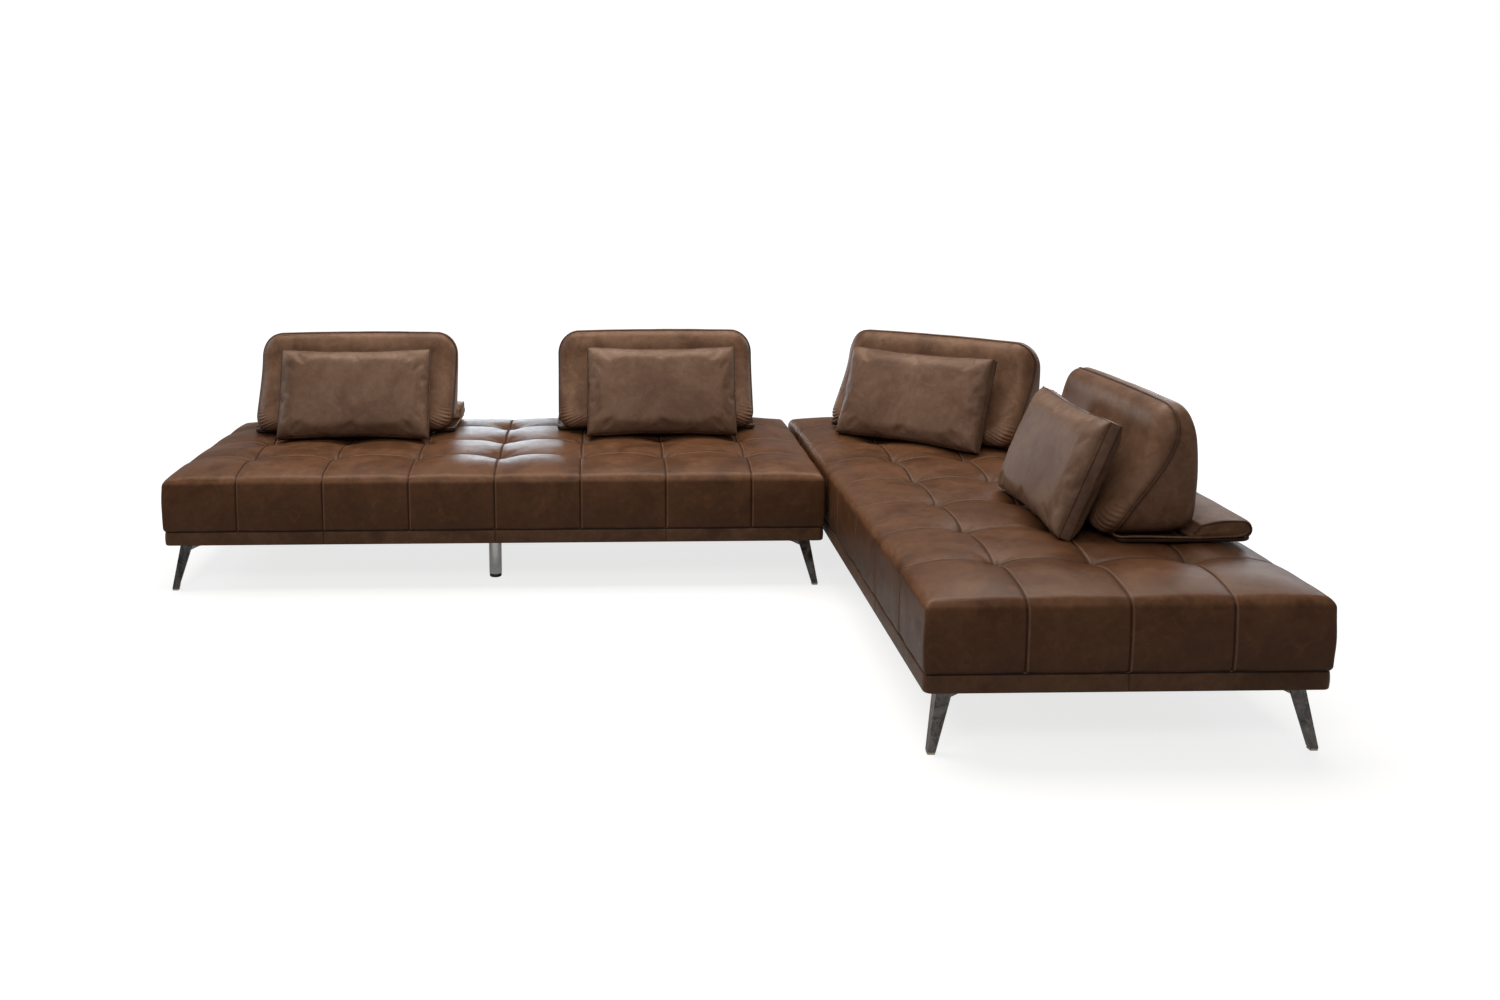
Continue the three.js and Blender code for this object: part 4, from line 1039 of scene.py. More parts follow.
def arc(centre_r, centre_z, radius, start, stop, count=5):
    """Points of an arc as radius and height, between two angles in degrees."""
    angle = np.radians(np.linspace(start, stop, count))
    return np.stack([centre_r + radius * np.cos(angle), centre_z + radius * np.sin(angle)], axis=1)


def turned(profile, centre):
    """Rings of a profile of radius and height, turned about an upright line."""
    angle = np.linspace(0, 2 * np.pi, turned_steps, endpoint=False)
    radius, height = profile[:, 0][:, None], profile[:, 1][:, None]
    return np.stack([centre[0] + radius * np.cos(angle), centre[1] + radius * np.sin(angle),
                     np.broadcast_to(height, (len(profile), turned_steps))], axis=-1)


# %% Turn the posts
post_fillet = 0.0015
flange_thickness = 0.004
flange_fillet = 0.004
foot_fillet = 0.003
tube_share = 45 / 72
core_share = 0.3
for seat in seats:
    for end in ("front", "rear"):
        low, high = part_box(f"{seat.name}_post_{end}")
        centre = ((low + high) / 2)[:2]
        flange = (high.x - low.x) / 2
        tube = flange * tube_share
        profile = np.concatenate([
            [[tube * core_share, low.z]],
            arc(tube - post_fillet, low.z + post_fillet, post_fillet, -90, 0),
            arc(tube + flange_fillet, high.z - flange_thickness - flange_fillet, flange_fillet, 180, 90),
            arc(flange - post_fillet, high.z - flange_thickness + post_fillet, post_fillet, -90, 0),
            arc(flange - post_fillet, high.z - post_fillet, post_fillet, 0, 90),
            [[tube * core_share, high.z]],
        ])
        post = rings_piece(f"{seat.name}_tube_{end}", turned(profile, centre))
        settle(post, "sofa", "post_chrome", chrome, f"{seat.name}_post_{end}")
        low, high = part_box(f"{seat.name}_post_foot_{end}")
        foot = (high.x - low.x) / 2
        profile = np.concatenate([
            [[foot * core_share, low.z]],
            arc(foot - foot_fillet, low.z + foot_fillet, foot_fillet, -90, 0),
            [[foot, high.z]],
            [[foot * core_share, high.z]],
        ])
        foot_piece = rings_piece(f"{seat.name}_tube_foot_{end}", turned(profile, centre))
        settle(foot_piece, "sofa", "foot_rubber", rubber, f"{seat.name}_post_foot_{end}")
print("points a post:", profile.shape[0] * turned_steps)

# %% [markdown]
# ## The back cushions
# A back cushion is a front panel with a deep crown, a piping round it, and one rounded
# shell behind that forms the sides, the top, the back and the foot. The piping is the key
# line: seen from the front it is a rectangle with elliptical corners, and seen from the
# side it leans back in a long curve. The panel is that outline drawn in towards its middle,
# the shell is the same outline carried back and rounded off, and both share its points.

# %% Where each backrest stands
hinge_back = 0.190
hinge_height = 0.068
up = np.array([0.0, 0.0, 1.0])


class Backrest:
    """Axes of a backrest, from its recline joint: along its width, back and up."""

    def __init__(self, number):
        self.number = number
        joint = next(j for j in frame["joints"] if j["name"] == f"back_{number}_recline")
        self.along = -np.array(joint["axis"], float)
        self.back = np.cross(up, self.along)
        self.origin = np.array(joint["pos_m"]) - hinge_back * self.back - hinge_height * up

    def placed(self, points):
        """Points given as along, back and up in the shared frame."""
        return self.origin + points @ np.stack([self.along, self.back, up])


backrests = [Backrest(number) for number in (1, 2, 3, 4)]
print("backrests stand at:", [[round(v, 3) for v in backrest.origin] for backrest in backrests])

# %% Sizes of the cushion's outline
half_width = 0.391
bottom_taper = 0.016
cushion_bottom = 0.0135
cushion_top = 0.374
top_corner = (0.080, 0.090)
bottom_corner = (0.052, 0.058)
top_arch = 0.006
outline_points = 520
quarter_steps = 40
corner_weight = 2.6
corner_margin = 0.01
calm_half_height = 0.06
lean = 0.166
lean_pace = 1.87
lean_power = 1.25
lean_limit = 1.05
back_reach = 0.233
back_hollow = 0.0165
hollow_height, hollow_reach = 0.16, 0.165


# %% The piping line
def outward_of(line):
    """Outward directions of a closed line that runs anticlockwise."""
    ahead = np.roll(line, -1, axis=0) - np.roll(line, 1, axis=0)
    ahead /= np.linalg.norm(ahead, axis=1, keepdims=True)
    return np.stack([ahead[:, 1], -ahead[:, 0]], axis=1)


def outline():
    """Points round the front outline as along and up, from the middle of the bottom edge:
    straight sides with a quarter of an ellipse at each corner, closer at the corners."""
    quarter = np.linspace(0, np.pi / 2, quarter_steps)
    centre_up = np.array([cushion_bottom + bottom_corner[1], cushion_top - top_corner[1]])
    low_x = half_width - bottom_corner[0] + bottom_corner[0] * np.sin(quarter)
    low_z = centre_up[0] - bottom_corner[1] * np.cos(quarter)
    high_x = half_width - top_corner[0] + top_corner[0] * np.cos(quarter)
    high_z = centre_up[1] + top_corner[1] * np.sin(quarter)
    low_corner, high_corner = np.stack([low_x, low_z], 1), np.stack([high_x, high_z], 1)
    right = np.concatenate([[[0, cushion_bottom]], low_corner, high_corner, [[0, cushion_top]]])
    left = right[::-1][1:] * [-1, 1]
    whole = np.concatenate([right, left])
    steps = np.linalg.norm(np.diff(whole, axis=0), axis=1)
    is_corner = np.abs(whole[:-1, 0]) > half_width - top_corner[0] - corner_margin
    height = np.abs(whole[:-1, 1] - (cushion_bottom + cushion_top) / 2)
    far_from_middle = height > calm_half_height
    weight = steps * np.where(is_corner & far_from_middle, corner_weight, 1.0)
    travelled = np.concatenate([[0], np.cumsum(weight)])
    stops = np.linspace(0, travelled[-1], outline_points, endpoint=False)
    line = np.stack([np.interp(stops, travelled, whole[:, axis]) for axis in range(2)], axis=-1)
    share = np.clip((line[:, 1] - cushion_bottom) / (cushion_top - cushion_bottom), 0, 1)
    line[:, 1] += top_arch * (1 - (line[:, 0] / half_width) ** 2) * share**4
    line[:, 0] *= 1 - bottom_taper * (1 - share)
    return line


def front_line(z):
    """How far back the piping leans at a height: a sine of a power of the height."""
    share = np.clip((z - cushion_bottom) / (cushion_top - cushion_bottom), 0, lean_limit)
    return lean * np.sin(lean_pace * share**lean_power)


def back_line(z):
    """How far back the rear of the cushion reaches at a height: a shallow parabola."""
    return back_reach - back_hollow * ((z - hollow_height) / hollow_reach) ** 2


# %% [markdown]
# The front panel rises steeply from the piping and then goes level, like a tight pillow. At
# the lower corners too much leather meets the seam, so it is gathered in short waves that die
# out within a few centimetres. The shell is a quarter of a squarish ellipse at every point of
# the outline, blunter underneath, where the cushion ends in its round foot.

# %% Sizes of the cushion's surface
roll_depth, roll_width = 0.052, 0.066
panel_crown, rear_crown = 0.008, 0.008
side_swell = 0.006
gather_height, gather_peak, gather_pitch = 0.0034, 0.012, 0.013
gather_below, gather_beyond, gather_fade = 0.11, 0.28, 0.06
gather_wander, gather_wander_pace = 1.3, 40
front_relief, front_wavelength = 0.0012, 0.14
shell_relief, shell_wavelength = 0.0010, 0.12
shell_inset = (0.0475, 0.026, 0.034)
shell_power = (3.6, 2.5, 3.0)
front_shares = 1 - np.array([0.0, 0.006, 0.014, 0.025, 0.04, 0.06, 0.085, 0.12, 0.16, 0.21, 0.27,
                             0.34, 0.42, 0.5, 0.58, 0.66, 0.74, 0.82, 0.9, 0.96])
shell_angles = np.radians(np.array([1.2, 3, 6, 10, 15, 21, 28, 35, 42, 49, 56, 62, 68, 74, 80, 85, 90]))
rear_shares = 1 - np.array([0.06, 0.14, 0.24, 0.36, 0.5, 0.64, 0.78, 0.9, 0.97])
print("rings a cushion:", len(front_shares) + len(shell_angles) + len(rear_shares))


# %% Front, shell and rear of the cushion
def front_rings(line, middle, travelled):
    """Rings from the middle of the front panel out to the piping, as along, back and up, and
    each point's distance from the piping. The panel rises in a quarter of an ellipse of that
    distance, and the gathers are a sine of the way travelled along the piping."""
    share = front_shares[::-1, None]
    flat = middle + share[..., None] * (line - middle)
    inside = np.linalg.norm(flat[..., None, :] - line, axis=-1).min(axis=-1)
    rolled = 1 - np.clip(inside / roll_width, 0, 1)
    forward = roll_depth * np.sqrt(1 - rolled**2) + panel_crown * (1 - share**2)
    low = np.clip((gather_below - line[:, 1]) / gather_fade, 0, 1)
    low_corner = low * np.clip((np.abs(line[:, 0]) - gather_beyond) / gather_fade, 0, 1)
    wander = gather_wander * np.sin(travelled * gather_wander_pace)
    gathers = np.sin(2 * np.pi * travelled / gather_pitch + wander)
    rise = (inside / gather_peak) * np.exp(1 - inside / gather_peak)
    gathers = gather_height * gathers * low_corner * rise
    soft = front_relief * ripple(flat[..., 0], flat[..., 1], front_wavelength, 11) * (1 - rolled**2)
    back = front_line(flat[..., 1]) - forward - soft - gathers
    return np.stack([flat[..., 0], back, flat[..., 1]], axis=-1), inside


def shell_rings(line, travelled):
    """Rings from the piping back to the rear. Each point of the outline runs back and inward
    on a squarish quarter ellipse, whose inset and power depend on the way it faces."""
    normal = outward_of(line)
    below = np.clip(-normal[:, 1], 0, 1) ** 2
    above = np.clip(normal[:, 1], 0, 1) ** 2
    beside = 1 - below - above
    inset = shell_inset[0] * below + shell_inset[1] * above + shell_inset[2] * beside
    power = shell_power[0] * below + shell_power[1] * above + shell_power[2] * beside
    angle = shell_angles[:, None]
    drawn_in = inset * (1 - np.cos(angle) ** (2 / power))
    swell = side_swell * np.sin(2 * angle) * (beside + above)
    flat = line + ((swell - drawn_in)[..., None]) * normal
    start, end = front_line(line[:, 1]), back_line(flat[..., 1])
    depth = start + (end - start) * np.sin(angle) ** (2 / power)
    uneven = shell_relief * ripple(travelled[None, :] + 0 * depth, depth, shell_wavelength, 17)
    flat = flat + (uneven * np.sin(angle))[..., None] * normal
    return np.stack([flat[..., 0], depth, flat[..., 1]], axis=-1)


def rear_rings(last, middle):
    """Rings from the shell's last one in to the middle of the rear, which swells a little."""
    share = rear_shares[:, None]
    flat = middle + share[..., None] * (last - middle)
    depth = back_line(flat[..., 1]) + rear_crown * (1 - share**2)
    return np.stack([flat[..., 0], depth, flat[..., 1]], axis=-1)


# %% The whole cushion and its marks
# Painted shade beside the piping, a painted highlight in a band along the front panel's roll, and
# painted light on the middle of the shell's round.
seam_shade, seam_shade_power = 0.006, 1.5
panel_tone, roll_sheen = 0.30, 0.6
roll_sheen_at, roll_sheen_reach = 0.04, 0.022
shell_tone, shell_swell_sheen = 0.45, 0.45
rear_tone = 0.3


def cushion_rings():
    """All rings of the cushion with their painted light and painted shade, and the piping's line."""
    line = outline()
    middle = np.array([0.0, (cushion_bottom + cushion_top) / 2])
    travelled = np.cumsum(np.linalg.norm(np.roll(line, -1, axis=0) - line, axis=1))
    front, inside = front_rings(line, middle, travelled)
    shell = shell_rings(line, travelled)
    rear = rear_rings(shell[-1][:, [0, 2]], middle)
    rings = np.concatenate([front, shell, rear])
    line_place = np.stack([line[:, 0], front_line(line[:, 1]), line[:, 1]], axis=-1)
    away = np.linalg.norm(rings - line_place, axis=-1)
    crease = np.exp(-((away / seam_shade) ** seam_shade_power))
    on_shell = shell_tone + shell_swell_sheen * np.sin(2 * shell_angles[:, None]) ** 2
    crown = np.concatenate([
        panel_tone + roll_sheen * np.exp(-(((inside - roll_sheen_at) / roll_sheen_reach) ** 2)),
        np.broadcast_to(on_shell, shell.shape[:2]),
        np.full(rear.shape[:2], rear_tone),
    ])
    return rings, np.clip(crown, 0, 1), crease, line_place


# %% [markdown]
# A piping is a cord wrapped in leather and caught in the seam. It is a tube: at each point
# of the seam, a small circle stands square to the path. The circle's axes are the outward
# direction and what is square to it and the path, so the tube never twists.

# %% Tubes along a path
piping_radius = 0.0029
piping_sides = 10
piping_crown = 0.8


def tube_rings(path, outward, radius, closed):
    """Circles square to a path, for a tube of one radius."""
    if closed:
        ahead = np.roll(path, -1, axis=0) - np.roll(path, 1, axis=0)
    else:
        ahead = np.gradient(path, axis=0)
    ahead /= np.linalg.norm(ahead, axis=1, keepdims=True)
    outward = outward - (outward * ahead).sum(axis=1, keepdims=True) * ahead
    outward /= np.maximum(np.linalg.norm(outward, axis=1, keepdims=True), tiny)
    aside = np.cross(ahead, outward)
    angle = np.linspace(0, 2 * np.pi, piping_sides, endpoint=False)
    circle = np.cos(angle)[:, None] * outward[:, None] + np.sin(angle)[:, None] * aside[:, None]
    return path[:, None] + radius * circle


def piping(name, path, outward, closed=True, radius=piping_radius):
    """A piece of piping along a path of points, with its ends closed."""
    rings = tube_rings(path, outward, radius, closed)
    marks = {"crown": np.full(rings.shape[:2], piping_crown)}
    if not closed:
        return rings_piece(name, rings, marks)
    faces = [grid_quads(*rings.shape[:2], close_rows=True, close_columns=True)]
    return new_piece(name, rings.reshape(-1, 3), faces, marks)


# %% Make the back cushions and their piping
piping_proud = 0.0012
rings, crown, crease, seam_line = cushion_rings()
cushion_marks = {"crown": crown, "crease": crease}
seam_middle = np.array([0.0, 0.1, (cushion_bottom + cushion_top) / 2])
seam_outward = seam_line - seam_middle
seam_outward[:, 1] = 0
for backrest in backrests:
    number = backrest.number
    cushion = rings_piece(f"back_cushion_{number}", backrest.placed(rings), cushion_marks)
    settle(cushion, f"back_{number}", "back_leather", back_leather, f"back_{number}_cushion")
    outward = seam_outward @ np.stack([backrest.along, backrest.back, up])
    unit = outward / np.linalg.norm(outward, axis=1, keepdims=True)
    path = backrest.placed(seam_line) + piping_proud * unit
    cord = piping(f"back_piping_{number}", path, outward)
    settle(cord, f"back_{number}", "back_leather", piping_leather)
print("cushion faces:", len(cushion.data.polygons))

# %% [markdown]
# ## The base under each backrest
# Each backrest stands on a thin board wrapped in dark leather. Behind the cushion a pad
# covers the board and ends in a round nose. Its end panels are the shape of an almond,
# piped above and below, and the lower piping runs on round the whole board in a slight
# wave, because the leather is pulled over the edge by hand.

# %% A plan with round corners
def rounded_plan(half, front, back, front_radius, back_radius, steps=14, straight=40):
    """A rectangle with round corners as along and back, from the middle of the front."""
    quarter = np.linspace(0, np.pi / 2, steps)
    near = np.stack([half - front_radius + front_radius * np.sin(quarter),
                     front + front_radius - front_radius * np.cos(quarter)], axis=1)
    far = np.stack([half - back_radius + back_radius * np.cos(quarter),
                    back - back_radius + back_radius * np.sin(quarter)], axis=1)
    between = np.linspace(near[-1, 1], far[0, 1], straight + 2)[1:-1]
    side = np.stack([np.full(straight, half), between], axis=1)
    front_run = np.stack([np.linspace(0, near[0, 0], straight), np.full(straight, front)], axis=1)
    back_run = np.stack([np.linspace(far[-1, 0], 0, straight), np.full(straight, back)], axis=1)
    right = np.concatenate([front_run[:-1], near, side, far, back_run[1:]])
    return np.concatenate([right, right[::-1][1:-1] * [-1, 1]])


# %% The wrapped board
board_half = 0.395
board_front, board_back = 0.008, 0.386
board_corner_front, board_corner_back = 0.021, 0.042
board_round = 0.004
board_clearance = 0.0012
board_middle = np.array([0.0, 0.2])
board_low, board_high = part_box("back_1_base_board")
board_thickness = board_high.z - board_low.z


def slab_rings(line, profile, middle):
    """Rings of an outline drawn in by each inset of a profile of inset and height."""
    normal = outward_of(line)
    inset, height = profile[:, 0][:, None, None], profile[:, 1][:, None]
    flat = line - inset * normal
    share = np.array([0.35, 0.7])[:, None, None]
    first = middle + share * (flat[0] - middle)
    last = middle + share[::-1] * (flat[-1] - middle)
    flat = np.concatenate([first, flat, last])
    height = np.concatenate([height[[0, 0]], height, height[[-1, -1]]])
    return np.concatenate([flat, np.broadcast_to(height[..., None], flat.shape[:2] + (1,))], axis=-1)


board_plan = rounded_plan(board_half, board_front, board_back, board_corner_front, board_corner_back)
edge_turn = np.radians(np.linspace(0, 90, 5))
low_inset = board_round * (1 - np.sin(edge_turn))
high_inset = board_round * (1 - np.cos(edge_turn))
board_profile = np.concatenate([
    np.stack([low_inset, board_clearance + high_inset], axis=1),
    np.stack([high_inset, board_thickness - low_inset], axis=1),
])
board_rings = slab_rings(board_plan, board_profile, board_middle)
print("board thickness:", round(board_thickness - board_clearance, 4))

# %% Sizes of the base pad
pad_clearance = 0.0003
pad_floor = board_thickness + pad_clearance
pad_half = 0.3935
pad_nose = 0.390
pad_nose_height = 0.034
pad_nose_radius = 0.036
pad_crest = 0.0630
pad_crest_setback = 0.045
pad_crest_fall = 0.0035
pad_top_swell = 0.0055
foot_reach = 0.049
foot_angles = (-76, -24)
nose_angles = (78, -90)
foot_steps, top_steps, nose_steps, floor_steps = 16, 18, 26, 14


def pad_section():
    """The pad's closed section as back and up: under the cushion's round foot it follows a
    circle about the hinge, over the top it crests, and it ends in an elliptical nose."""
    under = np.radians(np.linspace(*foot_angles, foot_steps))
    foot = np.stack([
        hinge_back + foot_reach * np.cos(under), hinge_height + foot_reach * np.sin(under),
    ], axis=1)
    share = np.linspace(0, 1, top_steps)[1:]
    start = foot[-1]
    end = np.array([pad_nose - pad_crest_setback, pad_crest - pad_crest_fall])
    top = start + share[:, None] * (end - start)
    top[:, 1] += pad_top_swell * np.sin(np.pi * share)
    turn = np.radians(np.linspace(*nose_angles, nose_steps))
    half_height = np.where(turn > 0, end[1] - pad_nose_height, pad_nose_height - pad_floor)
    nose = np.stack([
        pad_nose - pad_nose_radius + pad_nose_radius * np.cos(turn),
        pad_nose_height + half_height * np.sin(turn),
    ], axis=1)
    floor_back = np.linspace(nose[-1, 0], foot[0, 0], floor_steps)[1:]
    floor_run = np.stack([floor_back, np.full(floor_steps - 1, pad_floor)], axis=1)
    front_edge = np.array([[foot[0, 0], (foot[0, 1] + pad_floor) / 2]])
    return np.concatenate([foot, top, nose, floor_run, front_edge])


# %% The pad from end to end
pad_stations = 60
pad_corner = 0.040
pad_corner_share = 0.55
pad_rear_from, pad_rear_span = 0.30, 0.09
pad_middle = np.array([0.30, 0.034])
pad_end_round = 0.010
pad_end_shrink, pad_shrink_reach = 0.0035, 0.012
pad_lift = 0.0035
lift_above, lift_fade = 0.04, 0.012
lift_behind, lift_run = 0.24, 0.03
pad_relief, pad_wavelength = 0.0008, 0.09


def pad_body():
    """The section at stations along the pad, shortened at the round rear corners and rounded
    at the ends, as along, back and up."""
    section = pad_section()
    end_turn = np.radians(np.array([0, 20, 45, 70, 90]))
    end_step = pad_end_round * (1 - np.cos(end_turn))
    end_shrink = pad_end_shrink * (1 - np.sin(end_turn))
    inner = pad_half - 2 * pad_end_round
    body = np.concatenate([
        end_step - pad_half, np.linspace(-inner, inner, pad_stations), (pad_half - end_step)[::-1],
    ])
    shrink = np.concatenate([end_shrink, np.zeros(pad_stations), end_shrink[::-1]])
    beyond = np.clip(np.abs(body) - (pad_half - pad_corner), 0, pad_corner)
    shorter = pad_corner_share * (pad_corner - np.sqrt(pad_corner**2 - beyond**2))
    section = np.broadcast_to(section, (len(body),) + section.shape).copy()
    rear = np.clip((section[..., 0] - pad_rear_from) / pad_rear_span, 0, 1)
    section[..., 0] -= shorter[:, None] * rear
    section -= shrink[:, None, None] * np.tanh((section - pad_middle) / pad_shrink_reach)
    section[..., 1] = np.maximum(section[..., 1], pad_floor)
    lift = pad_lift * (1 - (body / pad_half) ** 2)
    on_top = np.clip((section[..., 1] - lift_above) / lift_fade, 0, 1)
    on_top = on_top * np.clip((section[..., 0] - lift_behind) / lift_run, 0, 1)
    section[..., 1] += lift[:, None] * on_top
    uneven = ripple(body[:, None] + 0 * rear, section[..., 0], pad_wavelength, 23)
    section[..., 1] += pad_relief * uneven * on_top
    along = np.broadcast_to(body[:, None, None], section.shape[:2] + (1,))
    return np.concatenate([along, section], axis=-1)


# %% The end panels and marks of the pad
pad_end_bulge = 0.004
pad_cap_shares = np.array([0.15, 0.4, 0.65, 0.85, 0.95])[:, None, None]
end_shade, end_shade_reach = 0.5, 0.003
pad_top_light, tone_above, tone_fade = 0.5, 0.03, 0.02


def pad_rings():
    """The pad's body closed by end panels that swell a little, with painted light on its top and end
    panels and painted shade along the end seams.
    """
    rings = pad_body()
    caps = []
    for ring, side in ((rings[0], -1), (rings[-1], 1)):
        centre = np.array([ring[0, 0], *pad_middle])
        cap = centre + pad_cap_shares * (ring - centre)
        cap[..., 0] += side * pad_end_bulge * (1 - pad_cap_shares[..., 0] ** 2)
        caps.append(cap)
    rings = np.concatenate([caps[0], rings, caps[1][::-1]])
    # Painted shade along the seam round each end panel.
    edge = np.abs(np.abs(rings[..., 0]) - pad_half + pad_end_round / 2)
    crease = end_shade * np.exp(-((edge / end_shade_reach) ** 2))
    # Painted light: the top and the end panels are made lighter.
    at_end = np.abs(rings[..., 0]) - pad_half + 0.5 * pad_end_round
    on_top = np.clip((rings[..., 2] - tone_above) / tone_fade, 0, 1) * pad_top_light
    crown = np.maximum(on_top, np.clip(at_end / pad_end_round, 0, 1))
    return rings, crown, crease


# %% The welt round the board
welt_radius = 0.003
welt_wave, welt_waves, welt_phase = 0.0022, 1.1, 0.6
welt_calm_front = 0.04
welt_height = 0.0168
climb_from, climb_run = 0.335, 0.05
welt_plan = rounded_plan(0.3955, 0.006, 0.3895, 0.022, pad_corner)


def welt_path():
    """The lower piping as along, back and up: round the board in a slight wave, climbing
    to the tip of the nose behind."""
    x, back = welt_plan.T
    climb = np.clip((back - climb_from) / climb_run, 0, 1)
    climb = climb * climb * (3 - 2 * climb)
    wave = np.sin(back / board_back * 2 * np.pi * welt_waves + welt_phase)
    wave = welt_wave * wave * np.clip(back / welt_calm_front, 0, 1)
    height = welt_height + wave * (1 - climb) + (pad_nose_height - welt_height) * climb
    return np.stack([x, back, height], axis=-1)


# %% The upper piping of the pad
upper_radius = 0.0028
upper_first, upper_end = 5, 54
upper_proud, upper_sink = 0.0002, 0.0012
upper_inward, upper_power = 0.35, 1.2
upper_forward = 0.6


def upper_path(side):
    """The upper piping of one end panel: along the end's top edge to the nose. It lies in
    the section's points after the first few, and follows the round rear corner."""
    top = pad_section()[upper_first:upper_end]
    rear = np.clip((top[:, 0] - pad_rear_from) / pad_rear_span, 0, 1)
    shorter = pad_corner_share * pad_corner * rear
    x = side * (pad_half + upper_proud - upper_inward * shorter**upper_power)
    return np.stack([x, top[:, 0] - upper_forward * shorter, top[:, 1] - upper_sink], axis=-1)


# %% Make the bases
bracket_bevel, steel_frame_bevel = 0.0006, 0.0008
pad_shape, pad_painted_light, pad_shade = pad_rings()
pad_marks = {"crown": pad_painted_light, "crease": pad_shade}
welt = welt_path()
welt_outward = np.concatenate([outward_of(welt_plan), np.zeros((len(welt), 1))], axis=1)
for backrest in backrests:
    number = backrest.number
    axes = np.stack([backrest.along, backrest.back, up])
    board = rings_piece(f"board_{number}", backrest.placed(board_rings))
    settle(board, f"base_{number}", "board_leather", board_leather, f"back_{number}_base_board")
    pad = rings_piece(f"base_pad_{number}", backrest.placed(pad_shape), pad_marks)
    settle(pad, f"base_{number}", "back_leather", pad_leather, f"back_{number}_base_pad")
    lower = piping(f"base_welt_{number}", backrest.placed(welt), welt_outward @ axes,
                   radius=welt_radius)
    settle(lower, f"base_{number}", "back_leather", welt_leather)
    for side, word in ((-1, "left"), (1, "right")):
        path = upper_path(side)
        outward = np.tile([float(side), 0.0, 0.3], (len(path), 1)) @ axes
        upper = piping(f"pad_piping_{word}_{number}", backrest.placed(path), outward,
                       closed=False, radius=upper_radius)
        settle(upper, f"base_{number}", "back_leather", piping_leather)
    soften(f"back_{number}_hinge_bracket", bracket_bevel, steel)
    soften(f"back_{number}_steel_frame", steel_frame_bevel, steel)
print("pad faces:", len(pad.data.polygons))

# %% [markdown]
# ## The pillows
# A loose pillow is two flat panels joined by a narrow gusset and stuffed. Its corners stay
# pointed and its seams pucker a little. A formula gives the cut and the fullness, and then
# physics takes over: the skin is a cloth that is slightly too large for its filling, so a
# small pressure makes it swell and buckle. The simulation runs once, because the four
# pillows are alike, and its result is copied and leaned into place.

# %% The stuffed form before the simulation
pillow_width, pillow_height, pillow_thickness = 0.584, 0.350, 0.112
gusset_half = 0.016
pillow_roll = 0.060
pillow_cells = (92, 56)
gusset_rows = 7
edge_cluster = 0.65
roll_share, swell_share = 0.78, 0.22
seam_pull = (0.008, 0.012)


def clustered(count):
    """Places from -1 to 1 that lie closer together towards both ends, by a sine."""
    even = np.linspace(-1, 1, count + 1)
    return (1 - edge_cluster) * even + edge_cluster * np.sin(np.pi / 2 * even)


def quarter_roll(inward):
    """The rise of a panel from its seam: a quarter of a circle, then level."""
    return np.sqrt(1 - (1 - np.clip(inward / pillow_roll, 0, 1)) ** 2)


def rim_order(rows, columns):
    """The rim of a panel's grid as one closed loop of places in it."""
    index = np.arange(rows * columns).reshape(rows, columns)
    return np.concatenate([index[0, :-1], index[:-1, -1], index[-1, :0:-1], index[:0:-1, 0]])


def stuffed_pillow():
    """Front panel, back panel and gusset as along, back and up. A panel rises from its
    seams in two rolls that are multiplied, and swells a little towards its middle."""
    x, z = np.meshgrid(clustered(pillow_cells[0]), clustered(pillow_cells[1]))
    inward_x = (1 - np.abs(x)) * pillow_width / 2
    inward_z = (1 - np.abs(z)) * pillow_height / 2
    swell = (1 - x**2) * (1 - z**2)
    rise = roll_share * quarter_roll(inward_x) * quarter_roll(inward_z) + swell_share * swell
    depth = gusset_half + (pillow_thickness / 2 - gusset_half) * rise
    along = x * pillow_width / 2 * (1 - seam_pull[0] * (1 - z**2))
    height = z * pillow_height / 2 * (1 - seam_pull[1] * (1 - x**2))
    panels = [np.stack([along, side * depth, height], axis=-1) for side in (-1, 1)]
    rim = rim_order(*x.shape)
    near, far = (panel.reshape(-1, 3)[np.append(rim, rim[0])] for panel in panels)
    share = np.linspace(0, 1, gusset_rows)[:, None, None]
    gusset = near + share * (far - near)
    return [*panels, gusset], np.minimum(inward_x, inward_z)


# %% Let the skin swell and buckle
cloth_frames = 20
cloth_pressure = 2.0
cloth_excess = 0.007
furthest_move = 0.007


def swollen(skin):
    """Runs the cloth without gravity and gives the points of the last frame. A negative
    shrink makes the skin larger than its filling."""
    cloth = skin.modifiers.new("cloth", "CLOTH").settings
    cloth.quality = 6
    cloth.mass = 0.3
    cloth.tension_stiffness = cloth.compression_stiffness = 25
    cloth.shear_stiffness = 12
    cloth.bending_stiffness = 1.2
    cloth.shrink_min = -cloth_excess
    cloth.use_pressure = True
    cloth.uniform_pressure_force = cloth_pressure
    cloth.effector_weights.gravity = 0
    cloth.air_damping = 4
    scene = bpy.context.scene
    for number in range(1, cloth_frames + 1):
        scene.frame_set(number)
    evaluated = skin.evaluated_get(bpy.context.evaluated_depsgraph_get())
    points = np.empty(len(evaluated.data.vertices) * 3, np.float32)
    evaluated.data.vertices.foreach_get("co", points)
    skin.modifiers.clear()
    scene.frame_set(1)
    return points.reshape(-1, 3).astype(float)


# %% [markdown]
# A cloth may slip, so no point is allowed to end more than a few millimetres from where the
# formula put it. The moves are read at the merged skin's points and handed back to the grids.

